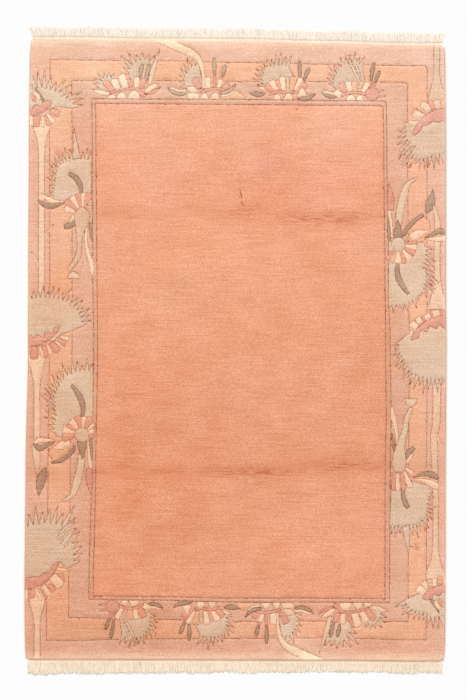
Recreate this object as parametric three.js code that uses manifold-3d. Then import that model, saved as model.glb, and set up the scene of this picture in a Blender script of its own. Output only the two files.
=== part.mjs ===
// A hand-knotted wool rug from Nepal, lying flat on the floor: about 2.0 m by 2.95 m of clipped pile
// with carved outlines, an overcast cord along each long side, and at each end a woven strip whose
// warp ends are left free as a fringe. Millimetres, +Z up, the underside at z = 0.
import * as THREE from 'three';
import { mergeVertices } from 'three/addons/utils/BufferGeometryUtils.js';
import Module from 'manifold-3d';

const wasm = await Module();
wasm.setup();

// Heights above the floor
const foundationHeight = 3;
const shoulderHeight = 11;
const pileHeight = 13;
// How far the rug's edge is drawn in at its underside, its shoulder and the top of its pile
const undersideInset = 1.5;
const shoulderInset = 1.2;
const pileInset = 5;
// The gap left between pieces that touch
const seam = 0.3;

// Carved lines: a V cut into the pile with scissors
const grooveHalf = 3.2;
const grooveDepth = 4;
const frameLineStep = 225;
const hiddenStep = 12;
const shortestPiece = 10;
const sharpestMitre = 0.4;
const edgeMargin = 12;
const cutterRise = 1;
const smallestFeature = 0.02;

// Corners of the pile, drawn in by the tighter weaving at both ends
const cornerRadius = 22;
const cornerAngles = [25, 50, 75];
const longSteps = 14;
const endSteps = 10;
const closeStations = [16, 42, 84];
const pinchDepth = 9;
const pinchReach = 45;

// The cord along a long side, and its six-sided profile as shares of its width and height
const selvedge = { width: 7, height: 8 };
const cordProfile = [
  { side: -0.3, height: 0 },
  { side: 0.3, height: 0 },
  { side: 0.5, height: 0.45 },
  { side: 0.3, height: 0.95 },
  { side: -0.3, height: 0.95 },
  { side: -0.5, height: 0.45 },
];

// The woven strip and the locks of its fringe. The outermost locks splay at the corners.
const fringe = {
  locks: 126, inset: 2, stripHeight: 3.4, ripple: 1.5, rippleLength: 90, rootOverlap: 4, sway: 5, unevenness: 3,
  cornerSplay: 14, splayPower: 9, bend: 1.5,
};
const stripWidth = { top: 16, bottom: 12 };
const lockStations = [
  { along: 0, width: 8, height: 3.1 },
  { along: 0.6, width: 7, height: 3.3 },
  { along: 1, width: 3.4, height: 1.5 },
];
const swayWaves = [
  { length: 61, share: 1, start: 0 },
  { length: 23, share: 0.7, start: 1.3 },
  { length: 141, share: 0.5, start: 0.4 },
];

// Each side's edge and carved frame lines. On the long sides 'at' is the place along Y and the
// others are distances along X; at the ends it is the other way round. 'reach' is the length of
// woven strip and fringe beyond the pile.
const sides = {
  left: [
    { at: 1422, edge: -982, outer: -879, middle: -777, inner: -685, field: -666 },
    { at: 948, edge: -986, outer: -882, middle: -775, inner: -680, field: -664 },
    { at: 379, edge: -989, outer: -884, middle: -775, inner: -680, field: -661 },
    { at: 0, edge: -990, outer: -884, middle: -775, inner: -676, field: -657 },
    { at: -569, edge: -1002, outer: -889, middle: -784, inner: -685, field: -666 },
    { at: -1138, edge: -1007, outer: -896, middle: -792, inner: -694, field: -671 },
    { at: -1446, edge: -1006, outer: -896, middle: -792, inner: -694, field: -671 },
  ],
  right: [
    { at: 1422, edge: 998, outer: 908, middle: 815, inner: 716, field: 694 },
    { at: 948, edge: 1001, outer: 908, middle: 815, inner: 720, field: 701 },
    { at: 379, edge: 1001, outer: 903, middle: 818, inner: 723, field: 706 },
    { at: 0, edge: 1004, outer: 903, middle: 822, inner: 730, field: 709 },
    { at: -569, edge: 1000, outer: 901, middle: 820, inner: 730, field: 706 },
    { at: -1138, edge: 999, outer: 898, middle: 818, inner: 730, field: 709 },
    { at: -1446, edge: 998, outer: 898, middle: 818, inner: 730, field: 709 },
  ],
  top: [
    { at: -879, edge: 1474, outer: 1377, middle: 1280, inner: 1194, field: 1171, reach: 64 },
    { at: -405, edge: 1468, outer: 1374, middle: 1280, inner: 1192, field: 1171, reach: 63 },
    { at: 21, edge: 1465, outer: 1365, middle: 1275, inner: 1190, field: 1166, reach: 65 },
    { at: 448, edge: 1455, outer: 1358, middle: 1275, inner: 1185, field: 1161, reach: 63 },
    { at: 874, edge: 1445, outer: 1351, middle: 1270, inner: 1180, field: 1161, reach: 65 },
  ],
  bottom: [
    { at: -879, edge: -1466, outer: -1375, middle: -1266, inner: -1176, field: -1161, reach: 77 },
    { at: -405, edge: -1467, outer: -1365, middle: -1273, inner: -1180, field: -1164, reach: 71 },
    { at: 21, edge: -1469, outer: -1363, middle: -1284, inner: -1190, field: -1171, reach: 67 },
    { at: 448, edge: -1470, outer: -1360, middle: -1284, inner: -1190, field: -1171, reach: 62 },
    { at: 874, edge: -1474, outer: -1370, middle: -1284, inner: -1194, field: -1176, reach: 65 },
  ],
};
const frameLines = ['outer', 'middle', 'inner', 'field'];

// Creases from storage: a soft trough right across the rug for each fold, and one short worn crease
const creases = [
  // the upper fold
  { half: 30, depth: 1.8, points: [[-1040, 655], [-300, 648], [300, 622], [1040, 606]] },
  // the lower fold
  { half: 26, depth: 2.2, points: [[-1040, -590], [-200, -584], [250, -566], [1040, -548]] },
  // the worn crease
  { half: 2.4, depth: 2.2, points: [[8, 872], [12, 760], [20, 700], [27, 655]] },
];

// Shapes that flower parts share. A fan's tips lean towards the notch before them, a head's teeth
// end at a share of its depth, and a stem's width is a multiple of its neck's half width.
const tipLean = 0.42;
const toothShare = 0.4;
const stemStations = [
  { down: 0, width: 2.4 },
  { down: 75, width: 1.25 },
  { down: 150, width: 1 },
];
const stemEndWidth = 0.9;
const leafStations = [0, 0.3, 0.72, 1];
const leafFullness = 0.85;

// The parts of the flowers, in each flower's own frame: u to its right, v the way it opens.
// Angles are in degrees from u. Later rows lie over earlier ones.
const thistle = (stemAt, stemLength) => [
  { part: 'fan', u: 0, v: 0, from: 112, to: -4, across: 213, up: 262, notch: 0.8, spikes: 6 },
  { part: 'stem', u: stemAt, v: -45, neck: 16, length: stemLength },
  { part: 'petals', u: -80, v: 165, from: -100, to: -27, inner: 150, outer: 236, count: 4 },
  { part: 'head', u: -80, v: 165, from: -96, to: -26, inner: 92, outer: 172, teeth: 3 },
];
const lily = [
  { part: 'fan', u: 0, v: 0, from: 172, to: 62, across: 170, up: 320, notch: 0.78, spikes: 7, stop: 40 },
  { part: 'leaf', u: 0, v: 55, angle: 112, length: 165, width: 36, bend: -0.14 },
  { part: 'leaf', u: -10, v: -60, angle: 260, length: 250, width: 46, bend: 0.1 },
  { part: 'leaf', u: 34, v: -60, angle: 270, length: 235, width: 24, bend: 0.02 },
  { part: 'petals', u: 0, v: 0, from: 205, to: 30, inner: 34, outer: 88, count: 4 },
  { part: 'leaf', u: -95, v: -28, angle: 184, length: 130, width: 50, bend: -0.1 },
  { part: 'leaf', u: -22, v: -60, angle: 220, length: 130, width: 34, bend: -0.16 },
];
const rosetteParts = [
  { part: 'petals', u: 0, v: 14, from: 166, to: 14, inner: 34, outer: 90, count: 4 },
  { part: 'leaf', u: -84, v: 34, angle: 176, length: 92, width: 40, bend: -0.12 },
  { part: 'leaf', u: 66, v: 16, angle: 16, length: 92, width: 34, bend: -0.1 },
];
const flowers = {
  thistleA: thistle(-10, 1026),
  thistleB: [
    ...thistle(-36, 400),
    { part: 'leaf', u: -40, v: -450, angle: 266, length: 128, width: 46, bend: 0.04 },
    { part: 'leaf', u: -32, v: -545, angle: 282, length: 110, width: 40, bend: 0.08 },
  ],
  thistleC: thistle(-10, 246),
  lily,
  rosette: [
    { part: 'fan', u: -38, v: 60, from: 176, to: 58, across: 100, up: 152, notch: 0.72, spikes: 5 },
    { part: 'leaf', u: 72, v: 76, angle: 76, length: 118, width: 26, bend: -0.06 },
    ...rosetteParts,
  ],
  twinFan: [
    { part: 'fan', u: 30, v: 60, from: 150, to: 62, across: 118, up: 172, notch: 0.68, spikes: 4 },
    { part: 'fan', u: -88, v: 50, from: 190, to: 70, across: 84, up: 116, notch: 0.7, spikes: 4 },
    ...rosetteParts,
  ],
  longStem: [
    { part: 'fan', u: -58, v: 60, from: 176, to: 84, across: 68, up: 145, notch: 0.7, spikes: 4 },
    { part: 'band', half: 13, points: [[0, 90], [-8, 170], [-34, 222], [-90, 250], [-170, 268]] },
    { part: 'leaf', u: 48, v: 84, angle: 84, length: 118, width: 24, bend: 0 },
    ...rosetteParts,
  ],
  budded: [
    { part: 'fan', u: -30, v: 60, from: 178, to: 56, across: 108, up: 160, notch: 0.72, spikes: 5 },
    { part: 'leaf', u: 80, v: 84, angle: 70, length: 112, width: 26, bend: -0.08 },
    ...rosetteParts,
  ],
};

// Where the flowers stand. 'beside' is the frame line or edge that each keeps 'off' from, and 'at'
// its place along the left side or the top. The right side and the bottom repeat these flowers,
// turned half round, with 'opposite' their place there. 'wide' and 'tall' stretch the flower.
const layout = [
  { flower: 'thistleA', side: 'left', beside: 'edge', off: 76, at: 1128, opposite: -1133, wide: 0.94, tall: 0.78 },
  { flower: 'lily', side: 'left', beside: 'inner', off: 54, at: 695, opposite: -625, wide: 0.84, tall: 0.84 },
  { flower: 'thistleB', side: 'left', beside: 'edge', off: 87, at: 19, opposite: 152, wide: 1, tall: 1 },
  { flower: 'lily', side: 'left', beside: 'inner', off: 48, at: -403, opposite: 500, wide: 1, tall: 1 },
  { flower: 'thistleC', side: 'left', beside: 'edge', off: 80, at: -1080, opposite: 1095, wide: 0.95, tall: 1.22 },
  { flower: 'twinFan', side: 'top', beside: 'inner', off: 0, at: -500, opposite: 538, wide: 1, tall: 1 },
  { flower: 'longStem', side: 'top', beside: 'inner', off: 0, at: -130, opposite: 173, wide: 1, tall: 1 },
  { flower: 'rosette', side: 'top', beside: 'inner', off: 0, at: 235, opposite: -149, wide: 1, tall: 1 },
  { flower: 'budded', side: 'top', beside: 'inner', off: 0, at: 571, opposite: -505, wide: 1, tall: 1 },
];
const oppositeSide = { left: 'right', top: 'bottom' };

const radians = THREE.MathUtils.degToRad;
const point = (x, y) => new THREE.Vector2(x, y);
const polar = (u, v, angle, radius) => point(
  u + radius * Math.cos(radians(angle)), v + radius * Math.sin(radians(angle)));

// The value in one column of a side's table at a place along it, eased between the rows
function along(rows, column, at) {
  const sorted = [...rows].sort((a, b) => a.at - b.at);
  const first = sorted[0];
  const last = sorted[sorted.length - 1];
  if (at <= first.at) return first[column];
  if (at >= last.at) return last[column];
  const next = sorted.findIndex((row) => row.at > at);
  const before = sorted[next - 1];
  const after = sorted[next];
  const share = THREE.MathUtils.smoothstep(at, before.at, after.at);
  return THREE.MathUtils.lerp(before[column], after[column], share);
}

// How far the long sides are drawn in near the ends of the pile
function pinch(y) {
  const toTop = along(sides.top, 'edge', 0) - y;
  const toBottom = y - along(sides.bottom, 'edge', 0);
  return pinchDepth * (Math.exp(-Math.abs(toTop) / pinchReach) + Math.exp(-Math.abs(toBottom) / pinchReach));
}

const leftEdge = (y) => along(sides.left, 'edge', y) + pinch(y);
const rightEdge = (y) => along(sides.right, 'edge', y) - pinch(y);
const topEdge = (x) => along(sides.top, 'edge', x);
const bottomEdge = (x) => along(sides.bottom, 'edge', x);

// Where a long side is bent: close together where the ends draw it in, and evenly between
function sideStations(edge) {
  const from = bottomEdge(edge(0)) + cornerRadius;
  const to = topEdge(edge(0)) - cornerRadius;
  const even = [];
  for (let i = 1; i < longSteps; i += 1) even.push(THREE.MathUtils.lerp(from, to, i / longSteps));
  return [
    from, ...closeStations.map((gap) => from + gap), ...even,
    ...closeStations.map((gap) => to - gap).reverse(), to,
  ];
}

// Where an end is bent, between the rounded corners of a pile drawn in by 'inset'
function endStations(end, inset) {
  const cordRoom = selvedge.width + seam + inset + cornerRadius;
  const from = leftEdge(sideStations(leftEdge).at(end === 'top' ? -1 : 0)) + cordRoom;
  const to = rightEdge(sideStations(rightEdge).at(end === 'top' ? -1 : 0)) - cordRoom;
  return Array.from({ length: endSteps + 1 }, (_, i) => THREE.MathUtils.lerp(from, to, i / endSteps));
}

// The outline of the pile, counter-clockwise, drawn in by 'inset', with rounded corners
function pileOutline(inset) {
  const cordRoom = selvedge.width + seam + inset;
  const runs = [
    endStations('bottom', inset).map((x) => point(x, bottomEdge(x) + inset)),
    sideStations(rightEdge).map((y) => point(rightEdge(y) - cordRoom, y)),
    endStations('top', inset).map((x) => point(x, topEdge(x) - inset)).reverse(),
    sideStations(leftEdge).map((y) => point(leftEdge(y) + cordRoom, y)).reverse(),
  ];
  const corner = (from, to, centre) => cornerAngles.map((angle) => point(
    centre.x + (from.x - centre.x) * Math.cos(radians(angle)) + (to.x - centre.x) * Math.sin(radians(angle)),
    centre.y + (from.y - centre.y) * Math.cos(radians(angle)) + (to.y - centre.y) * Math.sin(radians(angle))));
  return runs.flatMap((run, i) => {
    const from = run.at(-1);
    const to = runs[(i + 1) % runs.length][0];
    const centre = i % 2 === 0 ? point(from.x, to.y) : point(to.x, from.y);
    return [...run, ...corner(from, to, centre)];
  });
}

// A closed mesh from rings of equal length, with a cap on the first and the last or, without a
// contour for the caps, with the last joined to the first
function loft(rings, capContour) {
  const count = rings[0].length;
  const positions = rings.flat().flatMap((p) => [p.x, p.y, p.z]);
  const faces = [];
  const bands = capContour ? rings.length - 1 : rings.length;
  for (let ring = 0; ring < bands; ring += 1) {
    const here = ring * count;
    const next = ((ring + 1) % rings.length) * count;
    for (let i = 0; i < count; i += 1) {
      const j = (i + 1) % count;
      faces.push(here + i, here + j, next + j, here + i, next + j, next + i);
    }
  }
  const lastRing = (rings.length - 1) * count;
  const cap = capContour ? THREE.ShapeUtils.triangulateShape(capContour, []) : [];
  for (const [a, b, c] of cap) {
    faces.push(a, c, b, lastRing + a, lastRing + b, lastRing + c);
  }
  const geometry = new THREE.BufferGeometry();
  geometry.setAttribute('position', new THREE.Float32BufferAttribute(positions, 3));
  geometry.setIndex(faces);
  return geometry;
}

// A profile of 'side' (to the left) and 'height' pairs swept along a path on the floor, with mitred
// bends. A path that ends where it starts is swept all the way round.
function sweep(path, profile) {
  const round = path.length > 3 && path[0].distanceTo(path[path.length - 1]) < 0.01;
  const corners = round ? path.slice(0, -1) : path;
  const heading = (from, to) => to.clone().sub(from).normalize();
  const rings = corners.map((here, i) => {
    const back = round ? corners.at(i - 1) : corners[Math.max(0, i - 1)];
    const ahead = round ? corners[(i + 1) % corners.length] : corners[Math.min(corners.length - 1, i + 1)];
    const inward = back === here ? heading(here, ahead) : heading(back, here);
    const outward = ahead === here ? inward : heading(here, ahead);
    const middle = inward.clone().add(outward).normalize();
    const stretch = 1 / Math.max(sharpestMitre, middle.dot(inward));
    return profile.map(({ side, height }) => new THREE.Vector3(
      here.x - middle.y * side * stretch, here.y + middle.x * side * stretch, height));
  });
  return loft(rings, round ? null : profile.map(({ side, height }) => point(side, height)));
}

function toSolid(geometry) {
  const bare = geometry.clone();
  bare.deleteAttribute('normal');
  bare.deleteAttribute('uv');
  const merged = mergeVertices(bare, 1e-4);
  return new wasm.Manifold(new wasm.Mesh({
    numProp: 3,
    vertProperties: merged.attributes.position.array,
    triVerts: new Uint32Array(merged.index.array),
  }));
}

function toGeometry(solid) {
  const { vertProperties, triVerts } = solid.getMesh();
  const geometry = new THREE.BufferGeometry();
  geometry.setAttribute('position', new THREE.BufferAttribute(vertProperties, 3));
  geometry.setIndex(new THREE.BufferAttribute(triVerts, 1));
  geometry.computeVertexNormals();
  return geometry;
}

// Outlines of the flower parts, each a closed run of points in the flower's own frame

// A spiky crown of leaves: notches and tips by turns on two ellipses round the flower's heart, and
// no further to the right than 'stop', where there is one
function fanOutline({ u, v, from, to, across, up, notch, spikes, stop = Infinity }) {
  const reach = (angle, scale) => point(
    Math.min(stop, u + across * scale * Math.cos(radians(angle))), v + up * scale * Math.sin(radians(angle)));
  const points = [point(u, v)];
  for (let i = 0; i <= spikes; i += 1) {
    const angle = from + ((to - from) * i) / spikes;
    points.push(reach(angle, notch));
    if (i < spikes) points.push(reach(angle + (tipLean * (to - from)) / spikes, 1));
  }
  return points;
}

// A pointed leaf or bud round a bent middle line, widest at its middle
function leafOutline({ u, v, angle, length, width, bend }) {
  const direction = point(Math.cos(radians(angle)), Math.sin(radians(angle)));
  const across = point(-direction.y, direction.x);
  const edge = (share, sign) => {
    const swing = 4 * bend * length * share * (1 - share);
    const half = (sign * width * Math.sin(Math.PI * share ** leafFullness)) / 2;
    return point(u, v).addScaledVector(direction, length * share).addScaledVector(across, swing + half);
  };
  const there = leafStations.map((share) => edge(share, 1));
  const back = leafStations.slice(1, -1).reverse().map((share) => edge(share, -1));
  return [...there, ...back];
}

// A ring of petals round the heart, its outer edge one blunt point for each petal
function petalOutline({ u, v, from, to, inner, outer, count }) {
  const points = [polar(u, v, from, inner)];
  for (let i = 0; i < count; i += 1) points.push(polar(u, v, from + ((to - from) * (i + 0.5)) / count, outer));
  return [...points, polar(u, v, to, inner)];
}

// A stem that flares where it meets the petals and narrows to its neck
function stemOutline({ u, v, neck, length }) {
  const rows = [...stemStations, { down: length, width: stemEndWidth }];
  const rightSide = rows.map(({ down, width }) => point(u + neck * width, v - down));
  const leftSide = rows.map(({ down, width }) => point(u - neck * width, v - down)).reverse();
  return [...rightSide, ...leftSide];
}

// A flower's head: a band round the point that its petals open from, smooth outside and toothed inside
function headOutline({ u, v, from, to, inner, outer, teeth }) {
  const step = (to - from) / (2 * teeth);
  const arc = [0, 1, 2, 3].map((i) => polar(u, v, from + ((to - from) * i) / 3, outer));
  const toothed = [];
  for (let i = 2 * teeth; i >= 0; i -= 1) {
    const radius = i % 2 === 0 ? inner + toothShare * (outer - inner) : inner;
    toothed.push(polar(u, v, from + step * i, radius));
  }
  return [...arc, ...toothed];
}

// A bent stem that widens along its line, up to twice its half width
function bandOutline({ half, points }) {
  const line = points.map(([u, v]) => point(u, v));
  const edge = (sign) => line.map((p, i) => {
    const ahead = line[Math.min(i + 1, line.length - 1)];
    const back = line[Math.max(i - 1, 0)];
    const heading = ahead.clone().sub(back).normalize();
    const widening = half * (1 + i / line.length);
    return point(p.x - heading.y * sign * widening, p.y + heading.x * sign * widening);
  });
  return [...edge(-1), ...edge(1).reverse()];
}

const outlines = {
  fan: fanOutline,
  leaf: leafOutline,
  petals: petalOutline,
  stem: stemOutline,
  head: headOutline,
  band: bandOutline,
};

// One flower of the layout as outlines on the rug
function placeFlower(row, turned) {
  const side = turned ? oppositeSide[row.side] : row.side;
  const turn = turned ? Math.PI : 0;
  const at = turned ? row.opposite : row.at;
  const line = along(sides[side], row.beside, at);
  const inwards = row.beside === 'edge' ? -Math.sign(line) : Math.sign(line);
  const heart = row.side === 'left' ? point(line + inwards * row.off, at) : point(at, line);
  const place = (p) => point(p.x * row.wide, p.y * row.tall).rotateAround(point(0, 0), turn).add(heart);
  return flowers[row.flower].map((part) => outlines[part.part](part).map(place));
}

function inside(p, outline) {
  let crossings = false;
  for (let i = 0, j = outline.length - 1; i < outline.length; j = i, i += 1) {
    const a = outline[i];
    const b = outline[j];
    const spans = (a.y > p.y) !== (b.y > p.y);
    if (spans && p.x < ((b.x - a.x) * (p.y - a.y)) / (b.y - a.y) + a.x) crossings = !crossings;
  }
  return crossings;
}

// The runs of a line that no later shape covers and that keep clear of the rug's edge, each
// ending a little before the groove that it would run into
function visibleRuns(line, covers, boundary) {
  const shown = (p) => inside(p, boundary) && !covers.some((cover) => inside(p, cover));
  const runs = [];
  let run = [];
  for (let i = 0; i + 1 < line.length; i += 1) {
    const pieces = Math.max(1, Math.round(line[i].distanceTo(line[i + 1]) / hiddenStep));
    for (let piece = 0; piece < pieces; piece += 1) {
      const from = line[i].clone().lerp(line[i + 1], piece / pieces);
      const to = line[i].clone().lerp(line[i + 1], (piece + 1) / pieces);
      if (shown(from) && shown(to)) {
        if (run.length === 0) run.push(from);
        if (piece > 0 && run.length > 1) run.pop();
        run.push(to);
      } else if (run.length > 0) {
        runs.push(run);
        run = [];
      }
    }
  }
  if (run.length > 0) runs.push(run);
  return runs.map(withoutShortPieces).filter((points) => points.length > 1);
}

// A run without the bends that lie closer together than the cutter can turn
function withoutShortPieces(run) {
  const kept = [run[0]];
  for (const p of run.slice(1)) {
    if (p.distanceTo(kept[kept.length - 1]) > shortestPiece) kept.push(p);
  }
  return kept;
}

// One frame line as a closed run round the field, straight between its steps
function frameLine(name) {
  const corner = (sideX, sideY) => {
    let x = along(sides[sideX], name, sideY === 'top' ? 1300 : -1300);
    const y = along(sides[sideY], name, x);
    x = along(sides[sideX], name, y);
    return point(x, y);
  };
  const corners = [
    corner('left', 'bottom'), corner('right', 'bottom'), corner('right', 'top'), corner('left', 'top'),
  ];
  const sideNames = ['bottom', 'right', 'top', 'left'];
  const points = [];
  sideNames.forEach((sideName, i) => {
    const from = corners[i];
    const to = corners[(i + 1) % corners.length];
    const steps = Math.round(from.distanceTo(to) / frameLineStep);
    for (let step = 0; step < steps; step += 1) {
      const p = from.clone().lerp(to, step / steps);
      if (step > 0 && (sideName === 'left' || sideName === 'right')) p.x = along(sides[sideName], name, p.y);
      if (step > 0 && (sideName === 'top' || sideName === 'bottom')) p.y = along(sides[sideName], name, p.x);
      points.push(p);
    }
  });
  return [...points, points[0].clone()];
}

// A V-shaped cutter along a carved line, reaching a little past the top of the pile
function grooveCutter(path, half, depth) {
  const top = { side: (half * (depth + cutterRise)) / depth, height: pileHeight + cutterRise };
  return toSolid(sweep(path, [
    { side: -top.side, height: top.height },
    { side: 0, height: pileHeight - depth },
    top,
  ]));
}

function makePile() {
  const rings = [
    { inset: undersideInset, height: 0 },
    { inset: 0, height: foundationHeight },
    { inset: shoulderInset, height: shoulderHeight },
    { inset: pileInset, height: pileHeight },
  ].map(({ inset, height }) => pileOutline(inset).map((p) => new THREE.Vector3(p.x, p.y, height)));
  const slab = toSolid(loft(rings, pileOutline(0)));

  const shapes = layout.flatMap((row) => [...placeFlower(row, false), ...placeFlower(row, true)]);
  const boundary = pileOutline(edgeMargin);
  const runs = frameLines.flatMap((name) => visibleRuns(frameLine(name), shapes, boundary));
  shapes.forEach((shape, i) => {
    const later = shapes.slice(i + 1);
    runs.push(...visibleRuns([...shape, shape[0].clone()], later, boundary));
  });
  const cutters = runs.map((run) => grooveCutter(run, grooveHalf, grooveDepth));
  for (const { half, depth, points } of creases) {
    cutters.push(grooveCutter(points.map(([x, y]) => point(x, y)), half, depth));
  }
  const carved = slab.subtract(wasm.Manifold.union(cutters)).simplify(smallestFeature);
  const bodies = carved.decompose().sort((a, b) => b.volume() - a.volume());
  return toGeometry(bodies[0]);
}

// The overcast cord along one long side, flat where it lies on the floor
function makeSelvedge(edge, direction) {
  const path = sideStations(edge).map((y) => point(edge(y) + (direction * selvedge.width) / 2, y));
  return sweep(path, cordProfile.map(({ side, height }) => (
    { side: side * selvedge.width, height: height * selvedge.height })));
}

// The slow sway of the fringe, the same for locks that lie side by side, and each lock's own length
const sway = (x) => swayWaves.reduce(
  (sum, { length, share, start }) => sum + share * Math.sin(x / length + start), 0);
const uneven = (i) => Math.sin(i * 2.4) * 0.6 + Math.sin(i * 0.9 + 2) * 0.4;

// One end: the woven strip past the pile, with locks of warp ends that lie on the floor
function makeFringe(end) {
  const outwards = end === 'top' ? 1 : -1;
  const edge = (x) => along(sides[end], 'edge', x);
  const width = stripWidth[end];
  const yInside = edge(0);
  const fromX = leftEdge(yInside) + selvedge.width + seam + fringe.inset;
  const toX = rightEdge(yInside) - selvedge.width - seam - fringe.inset;

  const stations = [fromX, ...endStations(end, 0), toX];
  const near = stations.map((x) => point(x, edge(x) + outwards * seam));
  const ripple = (x) => fringe.ripple * Math.sin(x / fringe.rippleLength);
  const far = stations.map((x) => point(x, edge(x) + outwards * (seam + width + ripple(x))));
  const contour = outwards > 0 ? [...near, ...far.reverse()] : [...near.reverse(), ...far];
  const strip = [0, fringe.stripHeight].map((z) => contour.map((p) => new THREE.Vector3(p.x, p.y, z)));
  const solids = [toSolid(loft(strip, contour))];

  const pitch = (toX - fromX) / fringe.locks;
  for (let i = 0; i < fringe.locks; i += 1) {
    const x = fromX + pitch * (i + 0.5);
    const rootY = edge(x) + outwards * (seam + width - fringe.rootOverlap);
    const reach = along(sides[end], 'reach', x) - width + fringe.rootOverlap + fringe.unevenness * uneven(i);
    const splay = fringe.cornerSplay * ((2 * x) / (toX - fromX)) ** fringe.splayPower;
    const drift = fringe.sway * sway(x) + splay;
    const rings = lockStations.map(({ along: share, width: wide, height }) => {
      const y = rootY + outwards * reach * share;
      const centre = x + drift * share ** fringe.bend;
      return [
        new THREE.Vector3(centre + (outwards * wide) / 2, y, 0),
        new THREE.Vector3(centre - (outwards * wide) / 2, y, 0),
        new THREE.Vector3(centre, y, height),
      ];
    });
    solids.push(toSolid(loft(rings, [point(-1, 0), point(1, 0), point(0, 1)])));
  }
  return toGeometry(wasm.Manifold.union(solids));
}

const wool = (color) => new THREE.MeshStandardMaterial({ color, roughness: 0.95, metalness: 0 });
const dyes = { pile: 0xe8a882, selvedge: 0xe6bb9c, cotton: 0xf6e2cc };

const rug = new THREE.Group();
const pieces = [
  { name: 'knotted_pile', geometry: makePile(), color: dyes.pile },
  { name: 'selvedge_left', geometry: makeSelvedge(leftEdge, 1), color: dyes.selvedge },
  { name: 'selvedge_right', geometry: makeSelvedge(rightEdge, -1), color: dyes.selvedge },
  { name: 'fringe_top', geometry: makeFringe('top'), color: dyes.cotton },
  { name: 'fringe_bottom', geometry: makeFringe('bottom'), color: dyes.cotton },
];
for (const { name, geometry, color } of pieces) {
  const mesh = new THREE.Mesh(geometry, wool(color));
  mesh.name = name;
  rug.add(mesh);
}

// The origin is at the middle of the rug's underside
const extent = new THREE.Box3().setFromObject(rug);
rug.position.set(-(extent.min.x + extent.max.x) / 2, -(extent.min.y + extent.max.y) / 2, 0);

export default rug;
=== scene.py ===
import bpy
import numpy as np
from mathutils.geometry import delaunay_2d_cdt
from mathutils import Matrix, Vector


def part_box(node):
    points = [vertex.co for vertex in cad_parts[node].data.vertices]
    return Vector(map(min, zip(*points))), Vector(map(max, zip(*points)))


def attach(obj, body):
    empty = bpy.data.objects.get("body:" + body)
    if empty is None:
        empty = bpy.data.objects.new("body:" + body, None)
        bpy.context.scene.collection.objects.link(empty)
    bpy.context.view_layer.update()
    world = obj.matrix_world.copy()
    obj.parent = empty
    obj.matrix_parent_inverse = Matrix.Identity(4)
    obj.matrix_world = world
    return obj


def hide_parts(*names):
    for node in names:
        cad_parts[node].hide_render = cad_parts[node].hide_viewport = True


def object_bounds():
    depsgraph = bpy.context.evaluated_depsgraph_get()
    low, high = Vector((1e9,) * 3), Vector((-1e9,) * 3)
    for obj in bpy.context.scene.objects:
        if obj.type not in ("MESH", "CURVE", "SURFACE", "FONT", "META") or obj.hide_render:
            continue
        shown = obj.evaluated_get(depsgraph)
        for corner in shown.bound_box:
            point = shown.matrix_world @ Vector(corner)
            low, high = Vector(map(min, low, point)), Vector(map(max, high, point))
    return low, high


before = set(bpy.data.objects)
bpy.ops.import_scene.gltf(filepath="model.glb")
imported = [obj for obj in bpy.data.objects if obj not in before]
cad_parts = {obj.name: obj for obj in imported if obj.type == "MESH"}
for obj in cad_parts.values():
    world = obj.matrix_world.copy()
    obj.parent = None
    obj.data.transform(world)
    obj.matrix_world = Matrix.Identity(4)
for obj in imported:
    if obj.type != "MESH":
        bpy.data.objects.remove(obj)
cad_low, cad_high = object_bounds()
MM = 0.001

# The studio. The rug lies on a plain pale floor and is looked at from straight above, as a rug is
# shown for sale: an even white surround, and one wide soft lamp past the top end that brings out the
# carved lines.
# The view is 700 rows of 4.74 mm high.
VIEW_HEIGHT = 700 * 4.74 * MM
CAMERA_UP = 9.0
CAMERA_AT = (-9.5 * MM, 2.5 * MM)
SENSOR = 36
FARTHEST = 200
SURROUND_STRENGTH = 0.62
LAMP_ENERGY, LAMP_ANGLE = 1.86, 0.5
LAMP_TURN = (-0.85, 0.0, 0.15)
FLOOR_HALF, FLOOR_LEVEL = 40, -0.0002

camera_data = bpy.data.cameras.new("camera")
camera = bpy.data.objects.new("camera", camera_data)
bpy.context.scene.collection.objects.link(camera)
camera.location = (*CAMERA_AT, CAMERA_UP)
camera_data.sensor_width = SENSOR
camera_data.lens = SENSOR * (CAMERA_UP - cad_high.z) / VIEW_HEIGHT
camera_data.clip_end = FARTHEST
bpy.context.scene.camera = camera
bpy.context.scene.view_settings.view_transform = "Standard"

surround = bpy.data.worlds.new("surround")
surround.use_nodes = True
surround.node_tree.nodes["Background"].inputs["Color"].default_value = (1, 1, 1, 1)
surround.node_tree.nodes["Background"].inputs["Strength"].default_value = SURROUND_STRENGTH
bpy.context.scene.world = surround

lamp_data = bpy.data.lights.new("soft_lamp", "SUN")
lamp_data.energy = LAMP_ENERGY
lamp_data.angle = LAMP_ANGLE
lamp = bpy.data.objects.new("soft_lamp", lamp_data)
lamp.rotation_euler = LAMP_TURN
bpy.context.scene.collection.objects.link(lamp)


def mesh_piece(name, points, faces, material, smooth=True):
    """A mesh object with one material. Its points are in metres, at the places where they belong."""
    mesh = bpy.data.meshes.new(name)
    mesh.from_pydata(points, [], faces)
    mesh.polygons.foreach_set("use_smooth", np.full(len(mesh.polygons), smooth))
    mesh.materials.append(material)
    mesh.update()
    piece = bpy.data.objects.new(name, mesh)
    bpy.context.scene.collection.objects.link(piece)
    return piece


def new_material(name, color, roughness, specular, sheen=0.0):
    """A material with one shader, together with its node tree and that shader."""
    material = bpy.data.materials.new(name)
    material.use_nodes = True
    tree = material.node_tree
    shader = tree.nodes["Principled BSDF"]
    shader.inputs["Base Color"].default_value = (*color, 1)
    shader.inputs["Roughness"].default_value = roughness
    shader.inputs["Specular IOR Level"].default_value = specular
    shader.inputs["Sheen Weight"].default_value = sheen
    return material, tree, shader


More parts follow.
